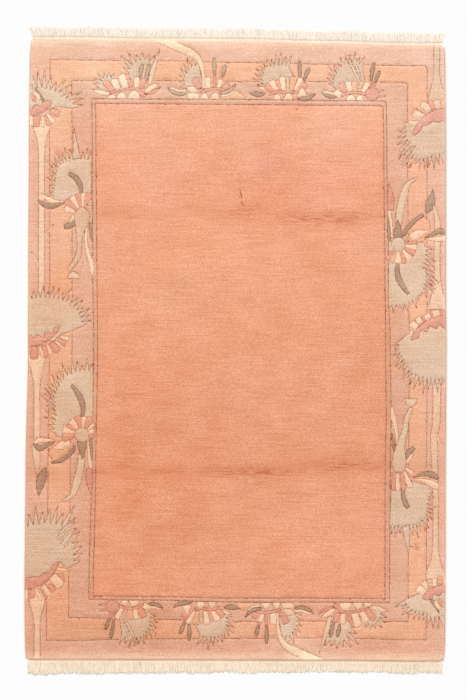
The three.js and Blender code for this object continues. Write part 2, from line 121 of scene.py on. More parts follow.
def node(tree, kind, **values):
    """A node of that kind, with the values of its named sockets or settings."""
    made = tree.nodes.new(kind)
    for name, value in values.items():
        if hasattr(made, name):
            setattr(made, name, value)
        else:
            made.inputs[name.replace("_", " ")].default_value = value
    return made


def bumped(tree, shader, height, **settings):
    """A material's fine relief, from a height that runs from 0 to 1."""
    bump = node(tree, "ShaderNodeBump", **settings)
    tree.links.new(height, bump.inputs["Height"])
    tree.links.new(bump.outputs["Normal"], shader.inputs["Normal"])


floor_material, floor_tree, floor_shader = new_material("floor_paint", (0.97, 0.97, 0.97), 0.9, 0.1)
floor_grain = node(floor_tree, "ShaderNodeTexNoise", Scale=60)
bumped(floor_tree, floor_shader, floor_grain.outputs["Fac"], Strength=0.02)
floor_signs = [(-1, -1), (1, -1), (1, 1), (-1, 1)]
floor_corners = [(x * FLOOR_HALF, y * FLOOR_HALF, FLOOR_LEVEL) for x, y in floor_signs]
floor = mesh_piece("floor", floor_corners, [(0, 1, 2, 3)], floor_material, smooth=False)

# The knotted pile. Wool tied in knots row by row on a cotton foundation, clipped to 13 mm in all, then
# carved: scissors part the pile along every outline of the border, so each frame line, leaf and petal
# stands clear in a shallow V. All sizes here are millimetres on the rug, as on a weaver's chart.

# Each side's edge and carved frame lines: the place along the side, then edge, outer, middle, inner
# and field line, and at the ends the reach of strip and fringe past the pile.
SIDE_COLUMNS = {"edge": 1, "outer": 2, "middle": 3, "inner": 4, "field": 5, "reach": 6}
SIDES = {
    "left": [
        (-1446, -1006, -897, -793, -695, -675, 0),
        (-1138, -1007, -897, -793, -696, -675, 0),
        (-569, -1002, -890, -785, -684, -664, 0),
        (0, -990, -884, -776, -673, -655, 0),
        (379, -989, -882, -776, -678, -658, 0),
        (948, -986, -883, -776, -680, -663, 0),
        (1422, -982, -880, -778, -686, -667, 0),
    ],
    "right": [
        (-1446, 998, 902, 817, 729, 708, 0),
        (-1138, 999, 903, 817, 729, 707, 0),
        (-569, 1000, 904, 819, 732, 708, 0),
        (-306, 1002, 906, 821, 736, 713, 0),
        (0, 1004, 907, 823, 732, 711, 0),
        (379, 1001, 906, 818, 723, 707, 0),
        (948, 1001, 907, 814, 716, 702, 0),
        (1422, 998, 907, 814, 712, 692, 0),
    ],
    "top": [
        (-879, 1474, 1375, 1277, 1191, 1168, 64),
        (-405, 1468, 1371, 1277, 1189, 1167, 63),
        (21, 1465, 1362, 1272, 1187, 1163, 65),
        (448, 1455, 1354, 1272, 1181, 1159, 63),
        (874, 1445, 1347, 1267, 1177, 1158, 65),
    ],
    "bottom": [
        (-879, -1466, -1379, -1268, -1181, -1165, 77),
        (-405, -1467, -1370, -1277, -1186, -1170, 71),
        (21, -1469, -1368, -1288, -1196, -1177, 67),
        (448, -1470, -1365, -1286, -1196, -1177, 62),
        (874, -1474, -1375, -1288, -1200, -1182, 65),
    ],
}
PINCH_DEPTH, PINCH_REACH = 9, 45
SELVEDGE_WIDTH, SEAM, CORNER_RADIUS = 7, 0.3, 22
NEAR_END, CORNER_DRAWN_IN = 1300, 4


def along(side, column, at):
    """The value in one column of a side's table at places along it: from one row to the next it goes
    as 3 s squared minus 2 s cubed, where s is the share of the way."""
    rows = np.array(SIDES[side], float)
    at = np.asarray(at, float)
    row = np.clip(np.searchsorted(rows[:, 0], at, side="right") - 1, 0, len(rows) - 2)
    share = np.clip((at - rows[row, 0]) / (rows[row + 1, 0] - rows[row, 0]), 0, 1)
    share = share * share * (3 - 2 * share)
    value = rows[:, SIDE_COLUMNS[column]]
    return value[row] + (value[row + 1] - value[row]) * share


def side_edge(side, y):
    """A long side's edge, drawn in near both ends by a depth that fades as e to the minus distance over
    reach."""
    to_top = np.abs(along("top", "edge", 0) - y)
    to_bottom = np.abs(y - along("bottom", "edge", 0))
    pinch = PINCH_DEPTH * (np.exp(-to_top / PINCH_REACH) + np.exp(-to_bottom / PINCH_REACH))
    return along(side, "edge", y) + (pinch if side == "left" else -pinch)


def pile_outline(inset, long_points=230, end_points=160, corner_points=6):
    """The pile's outline, counter-clockwise: each side follows its edge, drawn in by the cord and the
    inset, and a quarter of an ellipse joins one side to the next."""
    cord_room = SELVEDGE_WIDTH + SEAM + inset
    side_y = []
    for side in ("left", "right"):
        low = along("bottom", "edge", side_edge(side, 0)) + CORNER_RADIUS
        high = along("top", "edge", side_edge(side, 0)) - CORNER_RADIUS
        side_y.append(np.linspace(low, high, long_points))
    left_y, right_y = side_y
    end_x = []
    for k in (0, -1):
        low = side_edge("left", left_y[k]) + (cord_room + CORNER_RADIUS)
        high = side_edge("right", right_y[k]) - (cord_room + CORNER_RADIUS)
        end_x.append(np.linspace(low, high, end_points))
    bottom_x, top_x = end_x
    runs = [
        np.stack([bottom_x, along("bottom", "edge", bottom_x) + inset], 1),
        np.stack([side_edge("right", right_y) - cord_room, right_y], 1),
        np.stack([top_x, along("top", "edge", top_x) - inset], 1)[::-1],
        np.stack([side_edge("left", left_y) + cord_room, left_y], 1)[::-1],
    ]
    angles = np.linspace(0, np.pi / 2, corner_points + 2)[1:-1, None]
    outline = []
    for i, run in enumerate(runs):
        begin, end = run[-1], runs[(i + 1) % 4][0]
        centre = np.array([begin[0], end[1]] if i % 2 == 0 else [end[0], begin[1]])
        outline += [run, centre + (begin - centre) * np.cos(angles) + (end - centre) * np.sin(angles)]
    return np.concatenate(outline)


def frame_line(name, step=14):
    """One frame line as a closed run: on each side its own column of the table between the two corners.
    The top right corner is drawn in a little."""
    def corner(long_side, end):
        """Where two sides' lines meet, found in three steps from a place near the end."""
        x = along(long_side, name, NEAR_END if end == "top" else -NEAR_END)
        y = along(end, name, x)
        return np.array([along(long_side, name, y), y])

    corners = [corner("left", "bottom"), corner("right", "bottom")]
    corners += [corner("right", "top") - CORNER_DRAWN_IN, corner("left", "top")]
    runs = []
    for i, side in enumerate(["bottom", "right", "top", "left"]):
        begin, end = corners[i], corners[(i + 1) % 4]
        share = np.linspace(0, 1, int(np.linalg.norm(end - begin) / step))[:-1, None]
        run = begin + (end - begin) * share
        across = 0 if side in ("left", "right") else 1
        run[1:, across] = along(side, name, run[1:, 1 - across])
        runs.append(run)
    return np.concatenate(runs)


# The shapes that the border's flowers are put together from. Each is a closed outline in the flower's
# own frame, u to its right and v the way it opens, and each is worked out from a few sizes.
def pointing(angle):
    """The unit vector at an angle in degrees, and the one a quarter turn to its left."""
    turn = np.radians(angle)
    return np.array([np.cos(turn), np.sin(turn)]), np.array([-np.sin(turn), np.cos(turn)])


def smooth_line(points, per_stretch=8):
    """A smooth curve through the points: each stretch is a cubic that leaves and meets its ends in the
    direction from the point before to the point after."""
    points = np.array(points, float)
    t = np.linspace(0, len(points) - 1, per_stretch * (len(points) - 1) + 1)
    i = np.minimum(t.astype(int), len(points) - 2)
    s = (t - i)[:, None]
    before, here = points[np.maximum(i - 1, 0)], points[i]
    ahead, beyond = points[i + 1], points[np.minimum(i + 2, len(points) - 1)]
    return 0.5 * (2 * here + (ahead - before) * s + (2 * before - 5 * here + 4 * ahead - beyond) * s**2
                  + (3 * here - before - 3 * ahead + beyond) * s**3)


def band(path, halves):
    """A strip round a bent line: the line is smooth through the path's points, and the edges stand off
    it by the half width, which changes smoothly through the given values."""
    rows = smooth_line(np.column_stack([path, halves]))
    line, half = rows[:, :2], np.maximum(rows[:, 2:], 0)
    heading = np.gradient(line, axis=0)
    heading /= np.linalg.norm(heading, axis=1, keepdims=True)
    across = np.column_stack([-heading[:, 1], heading[:, 0]])
    return np.concatenate([line - across * half, (line + across * half)[::-1]])


def leaf(u, v, angle, length, width, bend=0.0, shape=(0, 0.8, 1, 0.66, 0)):
    """A pointed leaf or a blunt bud: a strip round a bow, as long as 'length', that swings aside by
    four times bend times s times one minus s, with its half width from 'shape'."""
    s = np.linspace(0, 1, len(shape))
    ahead, across = pointing(angle)
    path = np.array([u, v]) + np.outer(s * length, ahead) + np.outer(4 * bend * length * s * (1 - s), across)
    return band(path, np.array(shape) * width / 2)


BUD = (0.45, 0.8, 1, 0.95, 0.45)


def fan(u, v, profile, spikes, root=(), lean=0.0, stop=None):
    """A crown of spiky leaf tips round a point. The profile's rows are an angle and how far out the
    notches and the tips are there, and the spikes stand evenly along the notches' line. A spike's sides
    bend in halfway up, no two tips are quite alike, and each leans on by its share of 'lean'. The root's
    points close it; 'stop' cuts its right side."""
    angles, notches, tips = np.array(profile, float).T
    fine = np.linspace(angles[0], angles[-1], 200)
    line = np.stack([np.cos(np.radians(fine)), np.sin(np.radians(fine))])
    line = line * np.interp(-fine, -angles, notches)
    run = np.append(0, np.cumsum(np.hypot(*np.diff(line))))
    stops = np.interp(np.linspace(0, run[-1], 2 * spikes + 1), run, fine)
    start, middle, step = stops[:-1:2], stops[1::2], stops[2::2] - stops[:-1:2]
    k = np.arange(spikes)
    deep = np.interp(-start, -angles, notches)
    high = np.interp(-middle, -angles, tips) * (1 + 0.05 * np.sin(2.4 * k + spikes))
    half = 0.52 * deep + 0.48 * high
    turned = [start, middle + step * (0.4 * lean - 0.24)]
    turned += [middle + step * lean, middle + step * (0.4 * lean + 0.24)]
    angle = np.radians(np.append(np.stack(turned, 1).ravel(), angles[-1]))
    radius = np.append(np.stack([deep, half, high, half], 1).ravel(), notches[-1])
    points = np.column_stack([u + radius * np.cos(angle), v + radius * np.sin(angle)])
    points = np.concatenate([points, np.array(root, float).reshape(-1, 2)])
    if stop is not None:
        points[:, 0] = np.minimum(points[:, 0], stop)
    return points


def disc(u, v, wide, tall, turns=(0, 360)):
    """An ellipse, or the part of one between two angles."""
    angle = np.radians(np.linspace(*turns, 25))
    return np.column_stack([u + wide * np.cos(angle), v + tall * np.sin(angle)])


def petals(rows):
    """Petals, one a row: the dye, the middle of its base, the angle it points in, its length and its
    width at base and end. The end is round, drawn back at its corners by the fourth power."""
    shapes = []
    for dye, u, v, angle, length, base, end in rows:
        ahead, across = pointing(angle)
        t = np.linspace(-1, 1, 7)
        far = np.outer(length * (1 - 0.14 * t**4), ahead) + np.outer(t * end / 2, across)
        near = np.outer([base / 2, -base / 2], across)
        shapes.append((dye, 0.8, np.array([u, v]) + np.concatenate([far, near])))
    return shapes


def ring(u, v, inner, rows):
    """Petals round a point: the dye, the angle and the width in degrees, and how far out each reaches.
    A degree is about 0.0175 of the radius wide."""
    return petals([
        (dye, *(np.array([u, v]) + inner * pointing(angle)[0]), angle, outer - inner,
         0.0175 * wide * inner, 0.0175 * wide * outer)
        for dye, angle, wide, outer in rows
    ])


def head(u, v, turns, inner, outer, teeth, bite=0.3):
    """A flower's head: a band round the point its petals open from, smooth outside, with teeth inside
    that bite into a share of its width, and thinner towards one end."""
    angle = np.radians(np.linspace(*turns, 2 * teeth + 1))
    arc = np.radians(np.linspace(*turns, 9))
    notch = np.arange(2 * teeth + 1) % 2 == 0
    radius = np.linspace(*inner, 2 * teeth + 1) + np.where(notch, bite, 0) * (outer - inner[0])
    radius = np.minimum(radius, outer - 6)
    outside = np.column_stack([u + outer * np.cos(arc), v + outer * np.sin(arc)])
    inside_edge = np.column_stack([u + radius * np.cos(angle), v + radius * np.sin(angle)])
    return ("deep rose", 1, np.concatenate([outside, inside_edge[::-1]]))


def stem(at, top, neck, length):
    """A thistle's stem: flared like a cup under the petals, then as even as a ribbon."""
    down = [-40, top, neck, 0.5 * neck - 0.5 * length, -length]
    return ("stem", 1, band([(at, d) for d in down], [39, 39, 15.5, 14.5, 14.5]))


def pair(*shapes, faded=()):
    """A flower that is the same on both sides of the rug, but for the dyes that have faded on the first."""
    faded = dict(faded)
    return ([(faded.get(dye, dye), cut, outline) for dye, cut, outline in shapes], list(shapes))


# The flowers. Each is two versions of the same one, first the one on the left or at the top, then the one
# that stands turned half round on the right or at the bottom. A version is its shapes in the order they
# are laid, later ones over earlier ones: the dye, how deep its outline is cut, and the outline. Where the
# two share most shapes, the loop's rows hold what differs, such as a crown's profile, a foot or a stem,
# the petals, and `drop`, by which the second lily's tips are shorter.
THISTLE_A = [
    [
        ("sage", 1, fan(0, 0, crown, 12, root=[(66, 26), (20, 12), (-110, 20)], lean=0.12)),
        foot,
        *petals(rows),
        head(-72, 112, (-104, -32), (74, 92), 132, 3),
        ("olive", 1.2, leaf(6, 46, 124, 84, 17, 0.07)),
        ("cream", 0.7, leaf(-18, 54, 125, 58, 20, -0.04)),
        ("rose", 0.7, leaf(-40, 46, 118, 50, 20, 0)),
        ("stem", 0.7, band([(2, -586), (24, -560), (46, -532)], [4, 4, 2])),
        ("stem", 0.7, band([(-26, -740), (-40, -700), (-62, -664)], [4, 5, 2])),
        ("rose", 0.6, leaf(104, -200, 158, 52, 10, 0.1)),
        ("rose", 0.6, leaf(76, -216, 140, 34, 8, -0.1)),
    ]
    for crown, foot, rows in (
        ([(126, 118, 185), (108, 120, 212), (90, 114, 190), (76, 106, 168), (62, 108, 158), (50, 116, 196),
          (40, 112, 150), (22, 136, 208), (7, 138, 172)],
         stem(-12, -78, -180, 865),
         [
            ("rose", 28, 6, -18, 48, 22, 36), ("cream", 10, -14, -42, 54, 24, 22),
            ("rose", 8, -20, -70, 48, 12, 22), ("cream", -6, -20, -90, 52, 14, 16),
            ("rose", -36, -20, -92, 52, 34, 32), ("cream", -62, -20, -84, 44, 14, 16),
        ]),
        ([(122, 142, 215), (108, 136, 212), (96, 134, 190), (84, 126, 166), (72, 118, 148), (60, 122, 166),
          (50, 128, 178), (36, 134, 176), (24, 136, 190)],
         ("faded stem", 1, band([(-22, -40), (-22, -78), (-24, -180), (-24, -480), (-18, -640), (-18, -730),
                                 (-28, -800), (-31, -1070)], [42, 42, 15.5, 13.5, 15, 17, 18, 19])),
         [
            ("cream", 26, 18, -32, 44, 32, 38), ("stem", 14, 0, -58, 40, 20, 26),
            ("fawn", 0, -8, -82, 40, 22, 26), ("cream", -18, -12, -92, 38, 18, 22),
            ("rose", -46, -14, -92, 46, 28, 28), ("cream", -70, -14, -90, 44, 14, 16),
        ]),
    )
]
THISTLE_B = [
    [
        ("sage", 1, fan(0, 0, crown, 19, root=[(66, 50), (40, 20), (-110, 40)], lean=0.18)),
        foot,
        *petals(rows),
        head(-80, 165, (-97, turn), (inner, 152), outer, 4),
    ]
    for crown, foot, turn, inner, outer, rows in (
        ([(126, 236, 268), (90, 230, 274), (60, 231, 282), (42, 220, 266), (28, 196, 248)],
         stem(-40, -66, -182, 455), -25, 96, 170, [
            ("rose", -53, -4, -90, 60, 32, 36), ("cream", -26, -2, -73, 57, 12, 15),
            ("rose", -6, 2, -81, 60, 22, 20), ("cream", 10, 8, -72, 54, 11, 16),
            ("rose", 30, 15, -54, 54, 20, 36), ("cream", 46, 22, -37, 58, 11, 13),
            ("rose", 60, 30, -34, 42, 15, 27), ("cream", 71, 44, -16, 44, 14, 19),
        ]),
        ([(110, 300, 345), (96, 292, 344), (88, 282, 348), (80, 279, 342), (74, 274, 325), (66, 254, 296),
          (58, 230, 276), (50, 212, 250), (43, 194, 222), (38, 174, 205)],
         ("faded stem", 1, band([(-40, -40), (-40, -66), (-40, -182), (-38, -300), (-42, -400), (-38, -465),
                                 (-20, -535)], [39, 39, 15.5, 14.5, 15, 13, 4])), -20, 102, 177, [
            ("rose", -66, 7, -87, 43, 24, 26), ("cream", -38, 5, -81, 43, 28, 36),
            ("rose", -21, 7, -72, 44, 8, 11), ("stem", 0, 12, -67, 31, 26, 32),
            ("rose", 21, 17, -67, 32, 10, 12), ("stem", 38, 26, -57, 31, 22, 30),
            ("cream", 57, 48, -40, 37, 26, 34), ("cream", 76, 74, -18, 16, 16, 22),
        ]),
    )
]
LEAVES_B = [
    [
        ("pale sage", 0.9, leaf(-41, -12, 274, 158, 34, 0.04, (0.7, 1, 0.9, 0.5, 0))),
        ("olive", 1.2, leaf(14, -122, 256, 142, 42, -0.06, (0, 0.7, 1, 0.9, 0.45, 0))),
    ],
    [("olive", 1.2, leaf(14, -140, 254, 122, 42, -0.06, (0, 0.7, 1, 0.9, 0.45, 0)))],
]
THISTLE_C = [
    [
        (dye, 1, fan(0, 0, crown, 17, root=[*root, (-20, -32), (-110, -40)], lean=0.1)),
        *locks,
        foot,
        *petals(rows),
        head(-82, 118, (-100, -14), reach[:2], reach[2], 4, 0.12),
    ]
    for dye, crown, root, locks, foot, reach, rows in (
        ("sage",
         [(122, 244, 296), (92, 254, 322), (74, 262, 338), (64, 270, 362), (56, 240, 296), (43, 208, 256),
          (20, 160, 206)],
         [(128, 42), (96, 76), (48, 12)],
         [
            ("pale sage", 0.9, band([(84, 176), (100, 214), (130, 246), (168, 258)], [4, 6, 6, 2])),
            ("pale sage", 0.9, band([(96, 162), (118, 200), (144, 222), (172, 228)], [3, 5, 5, 2])),
            ("pale sage", 0.9, band([(114, 146), (140, 176), (158, 204), (166, 232)], [3, 5, 4, 2])),
         ],
         stem(-15, -104, -200, 379), (98, 160, 176), [
            ("cream", -66, -58, -92, 48, 18, 20), ("rose", -40, -58, -88, 40, 28, 27),
            ("cream", -19, -56, -66, 58, 17, 16), ("rose", 0, -48, -60, 62, 11, 12),
            ("cream", 13, -38, -55, 56, 22, 27), ("rose", 44, -34, -58, 36, 26, 30),
            ("rose", 96, 20, -70, 44, 24, 16), ("cream", 56, 8, -48, 66, 42, 46),
            ("cream", 72, 42, -6, 52, 14, 16),
        ]),
        ("warm sage",
         [(122, 190, 245), (108, 170, 228), (95, 172, 232), (87, 182, 242), (75, 198, 232), (66, 190, 248),
          (58, 166, 250), (47, 148, 212), (33, 134, 180), (20, 122, 160)],
         [(124, 18), (60, 10)],
         [
            ("warm sage", 0.8, band([(70, 128), (98, 152), (120, 186), (128, 226)], [3, 5, 5, 2])),
            ("warm sage", 0.8, band([(92, 108), (118, 126), (138, 150), (144, 178)], [3, 5, 5, 2])),
         ],
         ("fawn", *stem(-32, -104, -200, 379)[1:]), (86, 150, 170), [
            ("stem", -86, -44, -88, 44, 18, 20), ("peach", -63, -46, -84, 44, 20, 22),
            ("faded stem", -42, -43, -73, 48, 26, 32), ("rose", -18, -46, -67, 45, 20, 24),
            ("faded stem", 0, -36, -45, 54, 30, 36), ("peach", 30, -22, -32, 48, 8, 10),
            ("faded stem", 30, -4, -26, 56, 36, 42), ("faded stem", 40, 20, 2, 60, 22, 28),
        ]),
    )
]
LILY_A = [
    [
        ("sage", 1, fan(0, 0, [(165, 136, 156), (152, 144, 170), (147, 150, 184), (137, 162, 206),
                               (131, 180, 226), (122, 202, 246), (112, 212, 262), (100, 206, 268),
                               (88, 208, 256), (72, 216, 254)], 19, root=[(48, -10), (-60, 0), (-130, 20)],
                        stop=stop)),
        ("sage", 1, band([(-20, 212), (-26, 262), (-30, 310), (-33, 362)], [19, 12, 6, 0])),
        *rest,
    ]
    for stop, rest in (
        (48, [
            ("olive", 1.2, band([(0, 44), (-2, 78), (-22, 116), (-58, 142)], [7, 10, 12, 8])),
            ("cream", 0.9, band([(-70, 4), (-120, 8), (-156, 20), (-190, 46)], [5, 9, 11, 2])),
            ("olive", 1.2, band([(-80, 2), (-114, -8), (-142, -15), (-168, -10), (-205, 14)],
                                [2, 9, 12, 12, 5])),
            ("olive", 1, band([(40, -92), (46, -130), (53, -184)], [4, 7, 2])),
            ("cream", 0.8, band([(28, -112), (22, -175), (34, -240), (48, -285), (52, -340)],
                                [4, 7, 9, 12, 5])),
            ("pale sage", 1, disc(-36, -358, 27, 34, (0, 180))),
            ("olive", 1.2, band([(-14, -64), (-26, -86), (-48, -102), (-80, -113)], [5, 11, 14, 11])),
            ("cream", 0.8, band([(-20, -46), (-36, -64), (-54, -92)], [6, 9, 3])),
            *ring(4, -54, 34, [
                ("cream", 158, 24, 88), ("rose", 137, 21, 102), ("cream", 118, 20, 98),
                ("rose", 100, 18, 102), ("cream", 86, 13, 104), ("rose", 71, 18, 110),
            ]),
            ("fawn", 1, band([(2, -18), (4, -48), (2, -90), (-7, -150), (-8, -205), (-18, -258),
                              (-60, -320)], [8, 36, 32, 17, 11, 13, 9])),
        ]),
        (56, [
            ("olive", 1.2, band([(-4, 36), (-9, 72), (-18, 102), (-31, 124)], [7, 10, 12, 8])),
            ("cream", 0.9, band([(-64, -12), (-105, -6), (-140, 8), (-162, 22), (-170, 36)],
                                [3, 9, 16, 16, 6])),
            ("olive", 1.2, band([(-56, -21), (-92, -33), (-130, -37), (-158, -26), (-172, -12)],
                                [2, 7, 14, 13, 5])),
            ("olive", 1, band([(32, -130), (38, -175), (46, -228)], [3, 7, 3])),
            ("cream", 0.8, band([(22, -160), (22, -215), (28, -260), (40, -310), (46, -356)],
                                [4, 7, 9, 12, 5])),
            ("pale sage", 1, disc(-45, -393, 29, 38, (0, 180))),
            ("olive", 1.2, band([(-11, -92), (-24, -122), (-42, -146), (-60, -161)], [4, 11, 13, 9])),
            ("cream", 0.8, band([(-16, -82), (-36, -106), (-50, -130)], [5, 9, 5])),
            *petals([
                ("rose", 34, -44, 88, 86, 18, 24), ("cream", 20, -40, 92, 84, 12, 22),
                ("rose", -2, -40, 97, 84, 14, 26), ("cream", -14, -46, 112, 80, 12, 28),
                ("rose", -22, -54, 124, 66, 8, 14), ("cream", -20, -64, 142, 44, 12, 22),
            ]),
            ("pale sage", 1, band([(12, -46), (12, -76), (10, -120), (7, -156), (-3, -201), (-16, -239),
                                   (-24, -296), (-46, -350)], [15, 33, 30, 22, 17, 13, 12, 9])),
        ]),
    )
]
LILY_B = [
    [
        ("peach", 0.8, disc(-106, -82, 46, 52)),
        ("sage", 1, fan(0, 0, [(176, 126, 150), (158, 138, 182), (150, 142, 202), (142, 152, 222),
                               (133, 184, 270), (126, 220, 278), (115, 255, 306 - drop),
                               (106, 286 - drop / 2, 336 - drop), (96, 298 - drop / 2, 350 - drop),
                               (86, 303 - drop / 2, 346 - drop), (76, 310 - drop / 2, 356 - drop)], 21,
                        root=[(55, -12), (-60, -12), (-120, -8)], stop=stop)),
        ("olive", 1.2, band([(2, 88), (5, 130), (-10, 180), (-48, 236)], [7, 11, 13, 6])),
        ("cream", 0.9, band([(-126, -26), (-168, -25), (-206, -27), (-228, -44)], [2, 9, 12, 3])),
        ("olive", 1.2, band([(-130, -32), (-168, -50), (-200, -63), (-229, -44)], [2, 9, 13, 4])),
        ("cream", 0.8, band([(-58, -30), (-95, -50), (-138, -62)], [15, 19, 2])),
        curl,
        ("pale sage", 1, band([(0, -92), (-8, -160), (-24, -225), (-46, -284), (-92, -316)],
                              [15, 17, 18, 12, 3])),
        ("olive", 1.2, band([(42, -18), (43, -70), (46, -124)], [6, 9, 3])),
        ("cream", 0.8, band([(30, -34), (33, -90), (44, -164)], [4, 6, 9])),
        ("deep rose", 1, band([(36, -160), (36, -215), (45, -292)], [14, 16, 0])),
        ("olive", 1.2, leaf(0, -24, 272, 94, 42, 0, (0.9, 1, 0.75, 0.4, 0))),
        *ring(0, 0, 33, rows),
        ("sage", 1, disc(0, 0, 34, 34)),
    ]
    for stop, drop, curl, rows in (
        (53, 0, ("olive", 1.2, band([(-34, -52), (-50, -84), (-98, -120), (-144, -132)], [6, 8, 8, 4])), [
            ("rose", -8, 24, 56), ("cream", 20, 24, 60), ("rose", 188, 26, 94), ("cream", 164, 20, 94),
            ("rose", 146, 15, 86), ("cream", 127, 22, 88), ("rose", 104, 22, 92), ("cream", 83, 18, 88),
            ("rose", 62, 22, 94), ("cream", 42, 14, 76),
        ]),
        (46, 34, ("olive", 1.2, band([(-24, -43), (-48, -81), (-81, -114), (-119, -140)], [7, 9, 9, 7])), [
            ("rose", 186, 17, 90), ("cream", 169, 20, 90), ("rose", 151, 17, 90), ("cream", 126, 24, 96),
            ("rose", 109, 16, 96), ("cream", 88, 24, 90), ("peach", 69, 17, 94), ("rose", 54, 13, 92),
        ]),
    )
]


def two_tone(u, v, way, length, rise):
    """A leaf along the inner line: a pale upper half and a dark lower half that curl up together."""
    path = [(u, v), (u + way * length * 0.4, v - 4), (u + way * length * 0.75, v + rise * 0.3)]
    tip = (u + way * length, v + rise)
    return [
        ("cream", 0.8, band([*[(x, y + 12) for x, y in path], tip], [7, 9, 8, 0])),
        ("olive", 1.2, band([*path, tip], [5, 9, 8, 0])),
    ]


def stamens(*rows):
    """Dark blunt stamens, each on a thin rose foot: foot, angle and length, and how much of it is foot."""
    shapes = []
    for u, v, angle, length, foot in rows:
        ahead, _ = pointing(angle)
        if foot:
            shapes.append(("rose", 0.9, leaf(u, v, angle, foot + 6, 13, 0, (0.8, 1, 1))))
        shapes.append(("olive", 1.2, leaf(*(np.array([u, v]) + foot * ahead), angle, length - foot, 18,
                                          0.02, BUD)))
    return shapes


ROSETTE_A = pair(
    ("sage", 1, fan(60, 98, [(178, 62, 88), (150, 72, 114), (138, 76, 146), (116, 84, 130), (100, 88, 120),
                             (83, 86, 116), (66, 86, 116), (56, 90, 142)], 8, root=[(96, 70), (20, 70)])),
    ("sage", 1, fan(-100, 52, [(196, 46, 68), (157, 50, 84), (138, 52, 86), (111, 52, 80), (62, 50, 70)], 7,
                    root=[(-56, 44), (-110, 36)])),
    ("pale sage", 0.9, band([(92, 68), (108, 140), (140, 236)], [8, 11, 0])),
    *stamens((46, 104, 79, 62, 0), (74, 84, 78, 84, 0)),
    ("cream", 0.8, leaf(-92, 24, 166, 92, 22, 0.05)),
    *petals([
        ("rose", -78, 30, 128, 70, 24, 32), ("cream", -56, 42, 116, 58, 24, 34),
        ("cream", -24, 50, 104, 70, 28, 40), ("rose", 8, 48, 112, 76, 12, 15),
        ("cream", 30, 50, 89, 54, 22, 28), ("rose", 54, 50, 80, 48, 24, 32),
    ]),
    ("rose", 0.9, band([(-100, 26), (-50, 42), (0, 49), (36, 46)], [4, 5, 5, 5])),
    ("rose", 0.9, leaf(26, 50, -42, 58, 20, 0, (0.9, 1, 0.9))),
    ("cream", 0.8, disc(-88, 2, 20, 20, (0, 180))),
    ("cream", 0.8, disc(-42, 2, 22, 30, (0, 180))),
    ("cream", 0.8, disc(18, 2, 29, 38, (0, 180))),
    ("cream", 0.8, leaf(66, 26, 34, 84, 24, 0.05)),
    ("rose", 1.2, leaf(70, 22, 26, 84, 14, -0.06)),
    faded=[("sage", "warm sage"), ("olive", "faded olive")],
)
ROSETTE_B = pair(
    ("sage", 1, fan(-66, 72, [(204, 46, 66), (170, 48, 74), (150, 54, 84), (125, 64, 108), (105, 80, 128),
                              (94, 86, 140), (76, 88, 138)], 8, root=[(-26, 50), (-90, 50)])),
    ("stem", 1, band([(-24, 50), (-29, 135), (-50, 192), (-92, 224), (-152, 250), (-250, 300)],
                     [6, 9, 13, 19, 20, 24])),
    *stamens((28, 52, 90, 146, 60), (52, 54, 76, 112, 58)),
    *two_tone(-106, 30, -1, 90, 26),
    ("cream", 0.8, leaf(-44, 44, 168, 66, 30, 0.06)),
    *petals([
        ("deep rose", -46, 50, 112, 56, 26, 38), ("cream", -4, 50, 92, 56, 26, 32),
        ("cream", 42, 48, 70, 50, 18, 24), ("rose", 62, 42, 40, 44, 20, 32),
    ]),
    ("rose", 0.9, band([(-40, 34), (0, 46), (44, 50), (84, 40)], [5, 7, 7, 5])),
    *petals([("cream", -74, 4, 90, 26, 56, 56)]),
    ("cream", 0.8, disc(-20, 2, 18, 28, (0, 180))),
    ("cream", 0.8, disc(30, 2, 20, 30, (0, 180))),
    ("peach", 0.8, disc(114, 2, 56, 40, (0, 180))),
    ("cream", 0.7, leaf(62, 12, 22, 64, 26, 0.1)),
    ("olive", 1.2, band([(52, 30), (82, 34), (108, 48), (128, 72)], [6, 9, 8, 1])),
    faded=[("sage", "warm sage"), ("olive", "faded olive")],
)
ROSETTE_C = pair(
    ("sage", 1, fan(-32, 60, [(180, 66, 96), (164, 72, 113), (146, 88, 140), (130, 100, 130),
                              (117, 110, 138), (103, 102, 142), (85, 108, 163), (62, 112, 160)], 12,
                    root=[(52, 90), (40, 60), (-80, 54)])),
    *stamens((74, 84, 91, 102, 18), (84, 72, 68, 88, 22)),
    ("cream", 0.9, leaf(-48, 50, 172, 82, 22, 0.05)),
    ("olive", 1.2, leaf(-92, 30, 176, 78, 24, 0.07)),
    *petals([
        ("rose", -48, 38, 142, 54, 26, 36), ("cream", -36, 46, 124, 54, 20, 30),
        ("rose", -20, 48, 112, 50, 14, 22), ("cream", -4, 46, 98, 66, 20, 30),
        ("peach", 32, 46, 80, 66, 22, 34), ("cream", 50, 46, 64, 66, 18, 26),
        ("rose", 60, 36, 46, 58, 24, 34), ("pale sage", 15, 20, 90, 86, 9, 11),
    ]),
    ("rose", 0.9, band([(-70, 26), (-36, 40), (4, 34), (46, 36)], [5, 6, 5, 5])),
    ("cream", 0.8, disc(-36, 2, 18, 26, (0, 180))),
    ("cream", 0.8, disc(18, 2, 20, 32, (0, 180))),
    *petals([("cream", 84, 18, 92, 40, 50, 16)]),
    ("olive", 1.2, leaf(58, 8, 14, 92, 22, -0.12)),
    faded=[("sage", "warm sage")],
)
